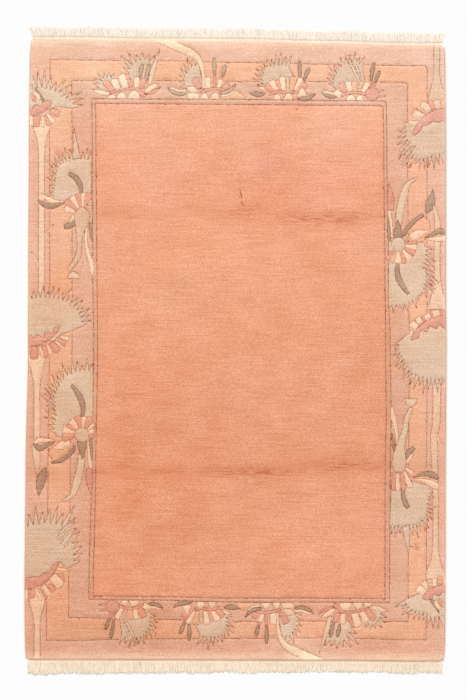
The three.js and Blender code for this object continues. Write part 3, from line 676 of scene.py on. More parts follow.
ROSETTE_D = pair(
    ("sage", 1, fan(-26, 58, [(174, 72, 100), (147, 84, 120), (137, 92, 142), (118, 106, 138),
                              (104, 114, 150), (90, 120, 160), (76, 124, 168), (60, 126, 166)], 12,
                    root=[(52, 60), (-80, 46)])),
    ("pale sage", 0.9, band([(22, 92), (-8, 150), (-38, 214)], [5, 6, 2])),
    ("pale sage", 0.9, band([(28, 110), (8, 160), (-2, 212)], [4, 5, 2])),
    *stamens((70, 62, 80, 122, 34), (88, 70, 68, 76, 18)),
    *two_tone(-84, 24, -1, 74, 16),
    *petals([
        ("cream", -62, 22, 148, 42, 26, 30), ("rose", -44, 38, 120, 52, 24, 34),
        ("cream", -24, 44, 100, 50, 20, 26), ("peach", -2, 44, 92, 50, 22, 28),
        ("peach", 20, 44, 76, 52, 12, 18), ("cream", 36, 42, 58, 54, 18, 26),
    ]),
    ("rose", 0.9, band([(-66, 22), (-30, 38), (10, 40), (50, 30)], [5, 6, 6, 6])),
    ("cream", 0.8, disc(-20, 2, 22, 28, (0, 180))),
    ("cream", 0.8, disc(24, 2, 17, 26, (0, 180))),
    ("deep rose", 0.9, disc(82, 32, 33, 31)),
    ("rose", 0.8, leaf(104, 16, 8, 44, 9, 0.1)),
    ("rose", 0.8, leaf(106, 36, 24, 38, 9, 0.1)),
    faded=[("sage", "warm sage")],
)

# Where the flowers stand: the side, the line that each keeps off from and by how much, its place on
# the left or the top, and its place on the right or the bottom, where it stands turned half round.
LAYOUT = [
    (LEAVES_B, "left", "edge", 87, -436, 502),
    (THISTLE_A, "left", "edge", 76, 1128, -1133),
    (THISTLE_B, "left", "edge", 87, 19, 152),
    (THISTLE_C, "left", "edge", 80, -1080, 1095),
    (LILY_A, "left", "inner", 54, 695, -625),
    (LILY_B, "left", "inner", 48, -403, 500),
    (ROSETTE_A, "top", "inner", 0, -500, 538),
    (ROSETTE_B, "top", "inner", 0, -128, 173),
    (ROSETTE_C, "top", "inner", 0, 232, -149),
    (ROSETTE_D, "top", "inner", 0, 565, -503),
]
OPPOSITE = {"left": "right", "top": "bottom"}


def placed(shapes, side, beside, off, at, turned):
    """A flower's outlines moved to their place on the rug, and turned half round on the far sides."""
    line = along(OPPOSITE[side] if turned else side, beside, at)
    way = -1 if turned else 1
    if side == "left":
        inwards = way if beside == "edge" else -way
        heart = np.array([line + inwards * off, at])
    else:
        heart = np.array([at, line])
    return [(dye, cut, outline * way + heart) for dye, cut, outline in shapes]


def resampled(outline, step=6.5):
    """A closed outline with its own corners and evenly spread points between them."""
    ahead = np.roll(outline, -1, axis=0)
    pieces = np.maximum(1, np.ceil(np.linalg.norm(ahead - outline, axis=1) / step - 0.35)).astype(int)
    start = np.repeat(np.arange(len(outline)), pieces)
    share = (np.arange(pieces.sum()) - np.repeat(np.cumsum(pieces) - pieces, pieces)) / pieces[start]
    return outline[start] + (ahead - outline)[start] * share[:, None]


def inside(points, outline):
    """Which points lie inside a closed outline: those from which a ray to the right crosses it an odd
    number of times."""
    low, high = outline.min(0), outline.max(0)
    found = ((points > low) & (points < high)).all(1)
    near = points[found]
    a, b = outline, np.roll(outline, -1, axis=0)
    spans = (a[:, 1] > near[:, 1:]) != (b[:, 1] > near[:, 1:])
    rise = np.where(b[:, 1] == a[:, 1], 1e-9, b[:, 1] - a[:, 1])
    cross = (b[:, 0] - a[:, 0]) * (near[:, 1:] - a[:, 1]) / rise + a[:, 0]
    found[found] = (spans & (near[:, :1] < cross)).sum(1) % 2 == 1
    return found


def nearest(points, samples, reach):
    """For each point the distance to the nearest sample, at most 'reach', and which sample that is.
    The points are taken in order of x, a few hundred at a time, against the samples in that range."""
    order, by_x = np.argsort(points[:, 0]), np.argsort(samples[:, 0])
    sorted_x = samples[by_x, 0]
    distance, which = np.full(len(points), float(reach)), np.zeros(len(points), int)
    for chunk in np.array_split(order, max(1, len(points) // 300)):
        x = points[chunk, 0]
        low, high = np.searchsorted(sorted_x, [x.min() - reach, x.max() + reach])
        if high > low:
            there = by_x[low:high]
            gap = np.linalg.norm(points[chunk, None] - samples[None, there], axis=2)
            best = gap.argmin(1)
            closest = gap[np.arange(len(chunk)), best]
            distance[chunk] = np.minimum(closest, reach)
            which[chunk] = there[best]
    return distance, which


# The carved lines' half width and depth; how far in from the edge the lines, their banks and the mesh's
# steps keep; and how far apart the steps are, how far they wander and keep off the lines, and how far
# out they reach.
GROOVE_HALF, GROOVE_DEPTH = 2.7, 2.4
LINE_MARGIN, BANK_MARGIN, STEP_MARGIN = 9, 7, 12
STEP, WANDER, STEP_CLEAR, CHART_HALF = 20, 5, 7, (1020, 1500)

# The pile's edge from the floor up: how far in it stands, and its height.
EDGE_PROFILE = [(1.5, 0), (0.3, 0.9), (0, 3), (0.3, 7), (1.1, 10.2), (2.6, 12.3), (5, 13)]

frames = [("peach", 1, frame_line("outer")), ("inner rose", 1, frame_line("middle")),
          ("stripe", 1.25, frame_line("inner")), ("field", 1.25, frame_line("field"))]
flowers = []
for (near, far), side, beside, off, at, opposite in LAYOUT:
    flowers += placed(near, side, beside, off, at, False) + placed(far, side, beside, off, opposite, True)

# A short crease runs down the field above its middle, where the pile has parted in ragged slits; the slits'
# darker dye is painted shade down in the parting. Each row is its middle, its angle, its length and width,
# and how deep it has parted.
SLITS = [
    (19, 806, -84, 70, 1.6, 0.3), (24, 740, -78, 44, 4.0, 0.9), (16, 724, -60, 18, 2.5, 0.5),
    (33, 690, -62, 26, 4.0, 0.8), (40, 700, 5, 24, 1.8, 0.4), (25, 702, -100, 18, 2.2, 0.5),
    (60, 634, -70, 14, 2.4, 0.4), (-10, 868, -6, 32, 1.8, 0.35), (-4, 852, 4, 22, 1.6, 0.3),
    (290, 1140, 20, 14, 6, 0.5),
]
for x, y, angle, length, width, cut in SLITS:
    ahead, _ = pointing(angle)
    flowers.append(("parted_shade", cut, leaf(*(np.array([x, y]) - 0.5 * length * ahead), angle, length, width)))
shapes = frames + [(dye, cut, resampled(outline)) for dye, cut, outline in flowers]
rim = np.round(pile_outline(EDGE_PROFILE[-1][0]), 2)
margin = pile_outline(LINE_MARGIN)

# The carved lines are the parts of the outlines that no later shape covers.
lines, line_cut, line_edges, line_normals, started = [], [], [], [], 0
for i, (dye, cut, outline) in enumerate(shapes):
    shown = inside(outline, margin)
    low, high = outline.min(0), outline.max(0)
    for _, _, later in shapes[max(i + 1, len(frames)):]:
        if (later.min(0) < high).all() and (later.max(0) > low).all():
            shown &= ~inside(outline, later)
    ahead, behind = np.roll(outline, -1, axis=0), np.roll(outline, 1, axis=0)
    heading = ahead - behind
    heading /= np.maximum(np.linalg.norm(heading, axis=1, keepdims=True), 1e-6)
    place = np.cumsum(shown) - 1 + started
    both = shown & np.roll(shown, -1)
    line_edges.append(np.column_stack([place, np.roll(place, -1)])[both])
    lines.append(outline[shown])
    line_cut.append(np.full(shown.sum(), float(cut)))
    line_normals.append(np.column_stack([-heading[:, 1], heading[:, 0]])[shown])
    started += shown.sum()
lines, line_cut = np.concatenate(lines), np.concatenate(line_cut)
line_edges, line_normals = np.concatenate(line_edges), np.concatenate(line_normals)

# The mesh's points: the rim, the lines, a bank on both sides of each line, and steps over the ground
# between. The triangles keep the rim and the lines as their edges.
banks = np.concatenate([lines + GROOVE_HALF * line_normals, lines - GROOVE_HALF * line_normals])
apart = nearest(banks, lines, 4)[0] > 0.8 * GROOVE_HALF
banks = banks[inside(banks, pile_outline(BANK_MARGIN)) & apart]
across, upwards = (np.arange(-half, half, STEP) for half in CHART_HALF)
steps = np.stack(np.meshgrid(across, upwards), -1).reshape(-1, 2)
steps = steps + WANDER * np.sin(steps[:, ::-1] * 0.37)
apart = nearest(steps, lines, STEP_CLEAR + 2)[0] > STEP_CLEAR
steps = steps[inside(steps, pile_outline(STEP_MARGIN)) & apart]
chart = np.round(np.concatenate([rim, lines, banks, steps]), 2)
rim_edges = np.column_stack([np.arange(len(rim)), np.roll(np.arange(len(rim)), -1)])
edges = np.concatenate([rim_edges, line_edges + len(rim)])


def triangulated(points, outline):
    """Triangles over points, inside an outline, that keep the carved lines: their corners and faces."""
    laid, _, tiles, _, _, _ = delaunay_2d_cdt(points.tolist(), edges.tolist(), [], 1, 0.05, False)
    laid, tiles = np.round(np.array(laid, float), 2), np.array(tiles)
    return laid, tiles[inside(laid[tiles].mean(1), outline)]


laid, tiles = triangulated(chart, rim)

# The pile's relief: the carved lines, the soft troughs that fold lines leave, and the slow unevenness
# of hand clipping. A fold is its half width, its depth and its path; a spot on it is its middle, half
# width and half height, and how much deeper the fold's painted shade is there.
SLOW_RISE = 0.35
FOLDS = [
    (30, 1.1, [(-1040, 655), (-300, 648), (300, 622), (1040, 606)]),
    (26, 1.6, [(-1040, -590), (-200, -584), (250, -566), (1040, -548)]),
]
FOLD_SHADE_SPOTS = [
    (330, 626, 150, 32, 0.85), (560, 628, 150, 30, 0.8), (30, 662, 130, 28, 0.55), (-520, 640, 110, 26, 0.5),
    (120, -578, 190, 19, 1.35), (560, -548, 150, 20, 0.9), (-330, -570, 210, 13, 0.45),
]


def fold_share(points, half, path):
    """How much of a fold reaches each point: e to the minus the squared distance across over its half
    width squared, along a path that runs across the rug."""
    path = np.array(path, float)
    y = np.interp(points[:, 0], path[:, 0], path[:, 1])
    return np.exp(-(((points[:, 1] - y) / half) ** 2))


def spot_share(points, x, y, wide, tall):
    """How much of a soft spot reaches each point: e to the minus the squared distance from its middle,
    counted in its half width and half height."""
    return np.exp(-(((points[:, 0] - x) / wide) ** 2) - ((points[:, 1] - y) / tall) ** 2)


gap, which = nearest(laid, lines, 4)
# How much of the folds' spots, where their painted shade is deeper, reaches each point.
fold_spot_shade = sum(share * spot_share(laid, x, y, wide, tall) for x, y, wide, tall, share in FOLD_SHADE_SPOTS)
carved = np.clip(1 - gap / GROOVE_HALF, 0, 1) * line_cut[which]
at_rim = nearest(laid, rim, 1)[0] < 0.05
# Two crossed waves, the first one bent.
slow = np.sin(laid[:, 0] / 83 + np.sin(laid[:, 1] / 140)) * np.sin(laid[:, 1] / 97 + 0.7)
height = EDGE_PROFILE[-1][1] + SLOW_RISE * slow - GROOVE_DEPTH * carved
for half, depth, path in FOLDS:
    height = height - depth * fold_share(laid, half, path)
height[at_rim] = EDGE_PROFILE[-1][1]

# The rounded wall goes down to the foot, and the underside has the same lines as the top, for its dyes.
walls = [np.round(pile_outline(inset), 2) for inset, _ in EDGE_PROFILE[:-1]] + [rim]
foot = walls[0]
walls = np.concatenate([
    np.column_stack([outline, np.full(len(outline), z)]) for outline, (_, z) in zip(walls, EDGE_PROFILE)
])
ring, rings = len(rim), len(EDGE_PROFILE)
here = (np.arange(rings - 1)[:, None] * ring + np.arange(ring)).ravel()
onward = (np.arange(rings - 1)[:, None] * ring + (np.arange(ring) + 1) % ring).ravel()
wall_faces = np.concatenate([
    np.column_stack([here, onward, onward + ring]),
    np.column_stack([here, onward + ring, here + ring]),
])
under_laid, under_tiles = triangulated(np.concatenate([foot, np.round(lines, 2)]), foot)

points = np.concatenate([
    np.column_stack([laid, height]),
    walls,
    np.column_stack([under_laid, np.zeros(len(under_laid))]),
])
faces = np.concatenate([tiles, wall_faces + len(laid), under_tiles[:, ::-1] + len(laid) + len(walls)])

# Points in the same place become one, which closes the mesh.
whole = np.column_stack([np.round(points[:, :2], 2), np.round(points[:, 2], 3)])
_, first, merged = np.unique(whole, axis=0, return_index=True, return_inverse=True)
points, faces = points[first], merged.ravel()[faces]
kept = (faces[:, 0] != faces[:, 1]) & (faces[:, 1] != faces[:, 2]) & (faces[:, 2] != faces[:, 0])
faces = faces[kept]

# The dyes, as sunlight shows them, from dark outlines' olive to the palest cream, and how the colours
# change over the rug: paler at the top end, warmer and deeper downwards, with soft patches where one
# hank of yarn gave way to the next. The table of tones has rows of y and what red, green and blue are
# multiplied by there, and its rise at both ends is painted highlight, where the rounded pile end catches
# the light. A patch is its middle, its half width and height, and its change to red, green and blue.
DYES = {
    "outer rose": (237, 182, 153),
    "peach": (242, 181, 144),
    "inner rose": (232, 177, 147),
    "stripe": (229, 171, 140),
    "field": (240, 168, 132),
    "sage": (229, 194, 164),
    "warm sage": (226, 186, 156),
    "pale sage": (236, 200, 168),
    "fawn": (231, 185, 151),
    "olive": (188, 150, 122),
    "faded olive": (205, 168, 138),
    "cream": (252, 210, 176),
    "stem": (248, 206, 171),
    "faded stem": (241, 197, 163),
    "rose": (235, 166, 137),
    "deep rose": (230, 163, 139),
    # The slits' dye: the field's colour darkened as painted shade down in the parted pile.
    "parted_shade": (214, 150, 118),
}
TONES_AND_END_HIGHLIGHTS = [
    # Painted highlight on the rounded bottom end of the pile.
    (-1480, 1.18, 1.46, 1.56),
    (-1452, 1.1, 1.19, 1.22),
    (-1425, 0.93, 0.88, 0.87),
    (-1250, 0.95, 0.90, 0.88),
    (-900, 0.95, 0.9, 0.87),
    (-480, 0.94, 0.87, 0.83),
    (-300, 0.95, 0.89, 0.86),
    (50, 0.98, 0.94, 0.91),
    (400, 1.0, 1.0, 1.0),
    (780, 1.01, 1.0, 1.02),
    (1080, 1.05, 1.11, 1.16),
    (1420, 1.07, 1.15, 1.21),
    # Painted highlight on the rounded top end of the pile.
    (1450, 1.12, 1.34, 1.45),
    (1480, 1.16, 1.46, 1.56),
]
PATCHES = [
    (145, 880, 95, 85, -0.05, -0.08, -0.035),
    (-250, 320, 70, 50, -0.06, -0.06, -0.06),
    (-425, -370, 110, 90, -0.06, -0.06, -0.06),
    (600, -30, 95, 110, -0.05, -0.05, -0.05),
    (340, 10, 60, 10, 0.06, 0.06, 0.06),
    (-60, 500, 240, 120, 0.03, 0.04, 0.02),
    (300, -900, 260, 160, 0.03, 0.03, 0.03),
    (-350, -860, 200, 180, -0.03, -0.04, -0.02),
    (420, 760, 180, 200, 0.02, 0.0, 0.03),
    (-480, 820, 160, 220, 0.02, 0.02, 0.02),
    (930, 0, 170, 1500, 0.025, 0.055, 0.115),
    (-430, -700, 200, 520, 0.0, -0.05, -0.14),
    (520, -950, 240, 260, 0.03, 0.06, 0.1),
    (560, 1100, 240, 120, 0.03, 0.09, 0.14),
    (-560, 1120, 120, 100, 0.03, 0.06, 0.09),
    (120, 720, 260, 160, 0.0, -0.06, -0.08),
    (-840, -1130, 200, 260, -0.03, -0.1, -0.13),
    (-700, -1320, 170, 50, -0.1, -0.16, -0.22),
    (-330, -1300, 120, 80, -0.06, -0.1, -0.12),
    (-520, -1390, 380, 34, -0.1, -0.12, -0.12),
    (380, -1320, 140, 60, 0.08, 0.1, 0.13),
    (300, -1405, 90, 50, 0.06, 0.18, 0.2),
    (-640, 1310, 120, 60, 0.06, 0.14, 0.2),
    (-860, 250, 90, 240, 0.0, -0.06, -0.06),
    (-720, 1000, 60, 160, 0.0, -0.1, -0.12),
    (870, -1100, 120, 200, 0.05, 0.1, 0.1),
    (860, 180, 70, 80, 0.08, 0.1, 0.12),
]

# The painted shade along a fold and on a spot of it, and by how much along each of the two folds; and the
# painted highlight on the pile's tips beside the cords: how far in from either side it reaches and how pale
# it is.
FOLD_SHADE_TINT, FOLD_SHADES, FOLD_HALF, SPOT_SHADE = np.array([0.5, 1.1, 1.3]), (0.04, 0.09), 34, 0.1
SIDE_HIGHLIGHT_TINT, SIDE_HIGHLIGHTS = np.array([0.25, 0.8, 1.2]), [("right", 12, 0.2), ("left", 4, 0.3)]


def linear(color):
    """A colour as the eye grades it, 0 to 255, made linear light: below 10 a straight line, above it
    the power 2.4 of the value plus 0.055 over 1.055."""
    share = np.asarray(color, float) / 255
    return np.where(share < 0.04045, share / 12.92, ((share + 0.055) / 1.055) ** 2.4)


def tone_and_painted_light(at):
    """What the dyes are multiplied by at places on the rug: the table's rows by y, with the painted
    highlight on both rounded ends, each patch by its share there, the painted shade along the folds and on
    their spots, and the painted highlight on the tips beside the cords."""
    rows = np.array(TONES_AND_END_HIGHLIGHTS)
    value = np.column_stack([np.interp(at[:, 1], rows[:, 0], rows[:, k]) for k in (1, 2, 3)])
    for x, y, wide, tall, *change in PATCHES:
        value = value * (1 + spot_share(at, x, y, wide, tall)[:, None] * np.array(change))
    # Painted shade along the fold troughs, deeper on their spots.
    for strength, (_, _, path) in zip(FOLD_SHADES, FOLDS):
        value = value * (1 - strength * fold_share(at, FOLD_HALF, path)[:, None] * FOLD_SHADE_TINT)
    for x, y, wide, tall, strength in FOLD_SHADE_SPOTS:
        value = value * (1 - SPOT_SHADE * strength * spot_share(at, x, y, wide, tall)[:, None] * FOLD_SHADE_TINT)
    # Painted highlight: the pile's tips beside each cord are made paler, for the light that the pile's side
    # catches.
    for side, reach, strength in SIDE_HIGHLIGHTS:
        from_edge = np.abs(at[:, 0] - side_edge(side, at[:, 1])) - SELVEDGE_WIDTH
        pale = strength * np.exp(-((from_edge / reach) ** 2))
        value = value * (1 + pale[:, None] * SIDE_HIGHLIGHT_TINT)
    return value


centres = points[faces].mean(1)
dye_of = np.zeros(len(faces), int)
names = list(DYES)
for dye, _, outline in shapes:
    dye_of[inside(centres[:, :2], outline)] = names.index(dye)
dyes = linear([DYES[name] for name in names])
corner_color = dyes[dye_of][:, None] * tone_and_painted_light(points[faces.ravel(), :2]).reshape(-1, 3, 3)

# The wool: knots in rows across the rug, streaked where a new hank was begun, with painted shade darkening
# it down in the carved lines, and dull, with a faint nap. The back shows the same dyes as rows of flat knot
# backs.
KNOT_PITCH, BACK_BELOW = 3.4 * MM, 0.8 * MM
COOL_WOOL, WARM_WOOL, GROOVE_SHADE_TINT = (1.0, 1.045, 1.075, 1), (1.0, 0.975, 0.945, 1), (0.42, 0.12, 0.03, 1)

wool, wool_tree, wool_shader = new_material("pile_wool", (0.8, 0.5, 0.35), 0.95, 0.12, sheen=0.08)
wool_shader.inputs["Sheen Roughness"].default_value = 0.6


def noise(tree, scale, detail, stretch=(1, 1, 1), roughness=0.5):
    """A noise pattern on object coordinates, stretched by those factors; its value runs from 0 to 1."""
    place = node(tree, "ShaderNodeTexCoord")
    mapping = node(tree, "ShaderNodeMapping", Scale=stretch)
    pattern = node(tree, "ShaderNodeTexNoise", Scale=scale, Detail=detail, Roughness=roughness)
    tree.links.new(place.outputs["Object"], mapping.inputs["Vector"])
    tree.links.new(mapping.outputs["Vector"], pattern.inputs["Vector"])
    return pattern.outputs["Fac"]


def spread_to(tree, value, low, high, to_low, to_high):
    """A value taken from one range to another, held at its ends."""
    made = node(tree, "ShaderNodeMapRange", From_Min=low, From_Max=high, To_Min=to_low, To_Max=to_high)
    tree.links.new(value, made.inputs["Value"])
    return made.outputs["Result"]


def times(tree, color, factor):
    """A colour multiplied by a grey value or by another colour."""
    made = node(tree, "ShaderNodeMix", data_type="RGBA", blend_type="MULTIPLY")
    made.inputs[0].default_value = 1
    tree.links.new(color, made.inputs[6])
    tree.links.new(factor, made.inputs[7])
    return made.outputs[2]


def combined(tree, operation, *values):
    """Values or numbers joined from left to right by one arithmetic operation."""
    result = values[0]
    for value in values[1:]:
        made = node(tree, "ShaderNodeMath", operation=operation)
        for socket, part in zip(made.inputs, (result, value)):
            if isinstance(part, (int, float)):
                socket.default_value = part
            else:
                tree.links.new(part, socket)
        result = made.outputs[0]
    return result


def deepened(tree, color, value):
    """A colour made darker or paler by a value near 1: each of red, green and blue is multiplied by the
    value to its own power of minus 0.7, so that all three change by the same step to the eye."""
    parts, whole = node(tree, "ShaderNodeSeparateColor"), node(tree, "ShaderNodeCombineColor")
    tree.links.new(color, parts.inputs[0])
    for part, socket in zip(parts.outputs, whole.inputs):
        power = combined(tree, "POWER", part, -0.7)
        tree.links.new(combined(tree, "MULTIPLY", part, combined(tree, "POWER", value, power)), socket)
    return whole.outputs[0]


# A noise keeps mostly between 0.3 and 0.7. Each pattern takes that range to how much it darkens or
# lightens the wool, or to where another pattern shows.
dyed = node(wool_tree, "ShaderNodeAttribute", attribute_name="dye")
depth = node(wool_tree, "ShaderNodeAttribute", attribute_name="carved")
spot_shade_share = node(wool_tree, "ShaderNodeAttribute", attribute_name="fold_spot_shade").outputs["Fac"]
streaks = spread_to(wool_tree, noise(wool_tree, 1, 3, (7, 130, 1)), 0.34, 0.66, 0.962, 1.038)
clouds = spread_to(wool_tree, noise(wool_tree, 6, 3, (1, 1.5, 1)), 0.32, 0.68, 0.973, 1.027)
grain = spread_to(wool_tree, noise(wool_tree, 1, 3, (170, 215, 170), 0.65), 0.3, 0.7, 0.815, 1.185)
row_lines = spread_to(wool_tree, noise(wool_tree, 1, 1, (5, 190, 1)), 0.5, 0.62, 0, 1)
row_here = spread_to(wool_tree, noise(wool_tree, 1, 2, (7, 12, 1)), 0.42, 0.62, 0.15, 1)
ticks = spread_to(wool_tree, noise(wool_tree, 1, 2, (17, 175, 1)), 0.5, 0.62, 0, 1)
quiet = spread_to(wool_tree, combined(wool_tree, "MULTIPLY", row_lines, row_here), 0, 1, 1, 0.92)
# Painted shade along the folds: short dark ticks where the folds' spots are.
tick_shade = spread_to(wool_tree, combined(wool_tree, "MULTIPLY", ticks, spot_shade_share), 0, 1, 1, 0.76)
place = node(wool_tree, "ShaderNodeTexCoord")
place_parts = node(wool_tree, "ShaderNodeSeparateXYZ")
wool_tree.links.new(place.outputs["Object"], place_parts.inputs[0])
below = combined(wool_tree, "LESS_THAN", place_parts.outputs[2], BACK_BELOW)
waves = []
for axis in (0, 1):
    wave = node(wool_tree, "ShaderNodeMath", operation="SINE")
    phase = combined(wool_tree, "MULTIPLY", place_parts.outputs[axis], 2 * np.pi / KNOT_PITCH)
    wool_tree.links.new(phase, wave.inputs[0])
    waves.append(wave.outputs[0])
knot_backs = combined(wool_tree, "MULTIPLY", below, *waves)
back_shade = spread_to(wool_tree, knot_backs, -1, 1, 0.86, 1.14)
shading = combined(wool_tree, "MULTIPLY", streaks, clouds, grain, quiet, tick_shade, back_shade)
color = deepened(wool_tree, dyed.outputs["Color"], shading)
warmth = node(wool_tree, "ShaderNodeMix", data_type="RGBA")
warmth.inputs[6].default_value = WARM_WOOL
warmth.inputs[7].default_value = COOL_WOOL
wool_tree.links.new(spread_to(wool_tree, noise(wool_tree, 3.2, 3), 0.36, 0.64, 0, 1), warmth.inputs[0])
color = times(wool_tree, color, warmth.outputs[2])
# Painted shade in the carved lines: the deeper a point is carved, the more its wool is darkened towards a
# dark red-brown, in uneven dots.
shade = node(wool_tree, "ShaderNodeMix", data_type="RGBA", blend_type="MULTIPLY")
shade.inputs[7].default_value = GROOVE_SHADE_TINT
groove_shade_dots = spread_to(wool_tree, noise(wool_tree, 1, 2, (75, 75, 75)), 0.36, 0.64, 0.15, 1)
cut_here = spread_to(wool_tree, depth.outputs["Fac"], 0.1, 0.78, 0, 1)
wool_tree.links.new(combined(wool_tree, "MULTIPLY", cut_here, groove_shade_dots), shade.inputs[0])
wool_tree.links.new(color, shade.inputs[6])
wool_tree.links.new(shade.outputs[2], wool_shader.inputs["Base Color"])
knots = noise(wool_tree, 1, 3, (320, 340, 320))
nap = noise(wool_tree, 1, 2, (60, 150, 60))
relief = combined(wool_tree, "ADD", knots, nap, knot_backs)
bumped(wool_tree, wool_shader, relief, Strength=0.28, Distance=0.002)

# The chart's own origin is near the rug's middle, and the shift takes it to the frame's.
edge_low, edge_high = pile_outline(0).min(0), pile_outline(0).max(0)
box_low, box_high = (np.array(corner)[:2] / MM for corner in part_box("knotted_pile"))
shift = np.append((box_low + box_high) / 2 - (edge_low + edge_high) / 2, 0)

pile = mesh_piece("clipped_pile", (points + shift) * MM, faces, wool)
dye_layer = pile.data.color_attributes.new("dye", "FLOAT_COLOR", "CORNER")
corner_color = np.concatenate([corner_color, np.ones((len(faces), 3, 1))], 2)
dye_layer.data.foreach_set("color", corner_color.astype(np.float32).ravel())
for layer_name, top_values in (("carved", carved), ("fold_spot_shade", fold_spot_shade)):
    values = np.concatenate([top_values, np.zeros(len(whole) - len(top_values))])[first]
    layer = pile.data.attributes.new(layer_name, "FLOAT", "POINT")
    layer.data.foreach_set("value", values.astype(np.float32))
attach(pile, "root")
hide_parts("knotted_pile")

# The cords along the long sides. Each is a bundle of edge warps wrapped closely with pale wool, wrap
# beside wrap, and stands beside the pile as a thin rounded rim.
def tubes(paths, wide, tall, sides=6):
    """Closed tubes round several paths at once. A ring's point is the path's plus cos t times the half
    width to the side plus sin t times the half height upwards."""
    heading = np.gradient(paths, axis=1)[:, :, :2]
    heading /= np.linalg.norm(heading, axis=2, keepdims=True)
    across = np.stack([-heading[..., 1], heading[..., 0], np.zeros(heading.shape[:2])], -1)
    t = np.arange(sides) * 2 * np.pi / sides
    wide = np.broadcast_to(wide, (*paths.shape[:2], sides))
    tall = np.broadcast_to(tall, (*paths.shape[:2], sides))
    rings = paths[:, :, None] + across[:, :, None] * (wide * np.cos(t))[..., None]
    rings[..., 2] += tall * np.sin(t)
    count, length = paths.shape[:2]
    at = np.arange(count * length * sides).reshape(count, length, sides)
    here, beside = at[:, :-1], np.roll(at, -1, axis=2)[:, :-1]
    ahead, ahead_beside = at[:, 1:], np.roll(at, -1, axis=2)[:, 1:]
    walls = [np.stack([here, beside, ahead_beside], -1), np.stack([here, ahead_beside, ahead], -1)]
    corner = np.arange(1, sides - 1)
    first, last = at[:, 0], at[:, -1]
    hubs = [np.broadcast_to(cap[:, :1], (count, sides - 2)) for cap in (first, last)]
    caps = [np.stack([hubs[0], first[:, corner + 1], first[:, corner]], -1)]
    caps += [np.stack([hubs[1], last[:, corner], last[:, corner + 1]], -1)]
    return rings.reshape(-1, 3), np.concatenate([part.reshape(-1, 3) for part in (*walls, *caps)])


# A cord's wraps are 4.4 mm long and bite in between by a share of its half width and half height. It is
# built of rings a step apart, its middle stands at a height, and it stops short of the pile's ends.
WRAP, CORD_HALF, CORD_TALL, CORD_RING, CORD_SIDES = 4.4, 3.3, 3.6, 1.25, 10
CORD_MIDDLE, CORD_STOP, WRAP_BITE = 3.85, 4, 0.11
CORD_DYE = (254, 229, 208)

cord_wool, cord_tree, cord_shader = new_material("selvedge_wool", (0.8, 0.6, 0.45), 0.9, 0.15, sheen=0.1)
cord_color = node(cord_tree, "ShaderNodeRGB")
cord_color.outputs[0].default_value = (*linear(CORD_DYE), 1)
cord_streaks = spread_to(cord_tree, noise(cord_tree, 1, 3, (200, 420, 200)), 0.3, 0.7, 0.9, 1.06)
cord_hanks = spread_to(cord_tree, noise(cord_tree, 1, 2, (3, 6, 3)), 0.3, 0.7, 0.94, 1.03)
cord_shown = times(cord_tree, times(cord_tree, cord_color.outputs[0], cord_streaks), cord_hanks)
cord_tree.links.new(cord_shown, cord_shader.inputs["Base Color"])
bumped(cord_tree, cord_shader, noise(cord_tree, 1, 2, (900, 1500, 900)), Strength=0.3, Distance=0.001)

for side, way in (("left", 1), ("right", -1)):
    mid = side_edge(side, 0)
    y = np.arange(along("bottom", "edge", mid) + CORD_STOP, along("top", "edge", mid) - CORD_STOP, CORD_RING)
    x = side_edge(side, y) + way * SELVEDGE_WIDTH / 2
    path = np.stack([x, y, np.full(len(y), CORD_MIDDLE)], 1)[None]
    t = np.arange(CORD_SIDES) * 2 * np.pi / CORD_SIDES
    wraps = 1 - WRAP_BITE * np.abs(np.sin(np.pi * y[:, None] / WRAP + t / 2)) ** 3
    wraps = wraps * (1 + 0.03 * np.sin(y / 37))[:, None]
    cord_points, cord_faces = tubes(path, CORD_HALF * wraps, CORD_TALL * wraps, CORD_SIDES)
    cord_points[:, 2] = np.maximum(cord_points[:, 2], 0)
    cord = mesh_piece("wrapped_cord_" + side, (cord_points + shift) * MM, cord_faces, cord_wool)
    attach(cord, "root")
    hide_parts("selvedge_" + side)

# The ends. Past the last knots the cotton warps are woven into a short flat strip that locks the pile,
# and are then cut and left free: hundreds of soft thick ends that lie side by side on the floor.

# How wide each strip is, how far its outermost warp ends lean aside, and the two dyes, which are
# yellower at the bottom.
STRIP = {"top": 16, "bottom": 12}
SPLAY = {"top": 15, "bottom": 5}
COTTON = {"top": (255, 243, 228), "bottom": (255, 237, 214)}
WOVEN = {"top": (255, 242, 224), "bottom": (255, 230, 204)}
WEFT_PITCH, WARP_PITCH, WEFT_HALF, WEFT_TALL = 3.0, 4.0, 1.72, 1.4
# The height of the weft rows' middles, how much the row beside the pile is raised, and their wave.
WEFT_LEVEL, FIRST_RAISED, WEAVE_WAVE = 1.85, 1.8, 0.35
# The two layers of warp ends: how many, half width, half height, level, how far the tips stray, and
# whether it lies on top. Every end grows thinner along its length.
LAYERS = [(330, 3.7, 0.9, 0.95, 3, 0), (520, 1.75, 1.15, 2.3, 9, 1)]
THINNING = np.array([1, 1, 0.95, 0.93, 0.9, 0.85, 0.72, 0.35])

cotton, cotton_tree, cotton_shader = new_material("fringe_cotton", (0.9, 0.8, 0.7), 0.9, 0.15, sheen=0.12)
cotton_dye = node(cotton_tree, "ShaderNodeAttribute", attribute_name="dye")
cotton_mottle = spread_to(cotton_tree, noise(cotton_tree, 1, 3, (90, 12, 60)), 0.3, 0.7, 0.96, 1.06)
cotton_wide = spread_to(cotton_tree, noise(cotton_tree, 1, 2, (9, 9, 9)), 0.3, 0.7, 0.98, 1.03)
cotton_shown = times(cotton_tree, cotton_dye.outputs["Color"], cotton_mottle)
cotton_shown = times(cotton_tree, cotton_shown, cotton_wide)
cotton_tree.links.new(cotton_shown, cotton_shader.inputs["Base Color"])
bumped(cotton_tree, cotton_shader, noise(cotton_tree, 1, 3, (700, 250, 700)), Strength=0.4, Distance=0.0008)

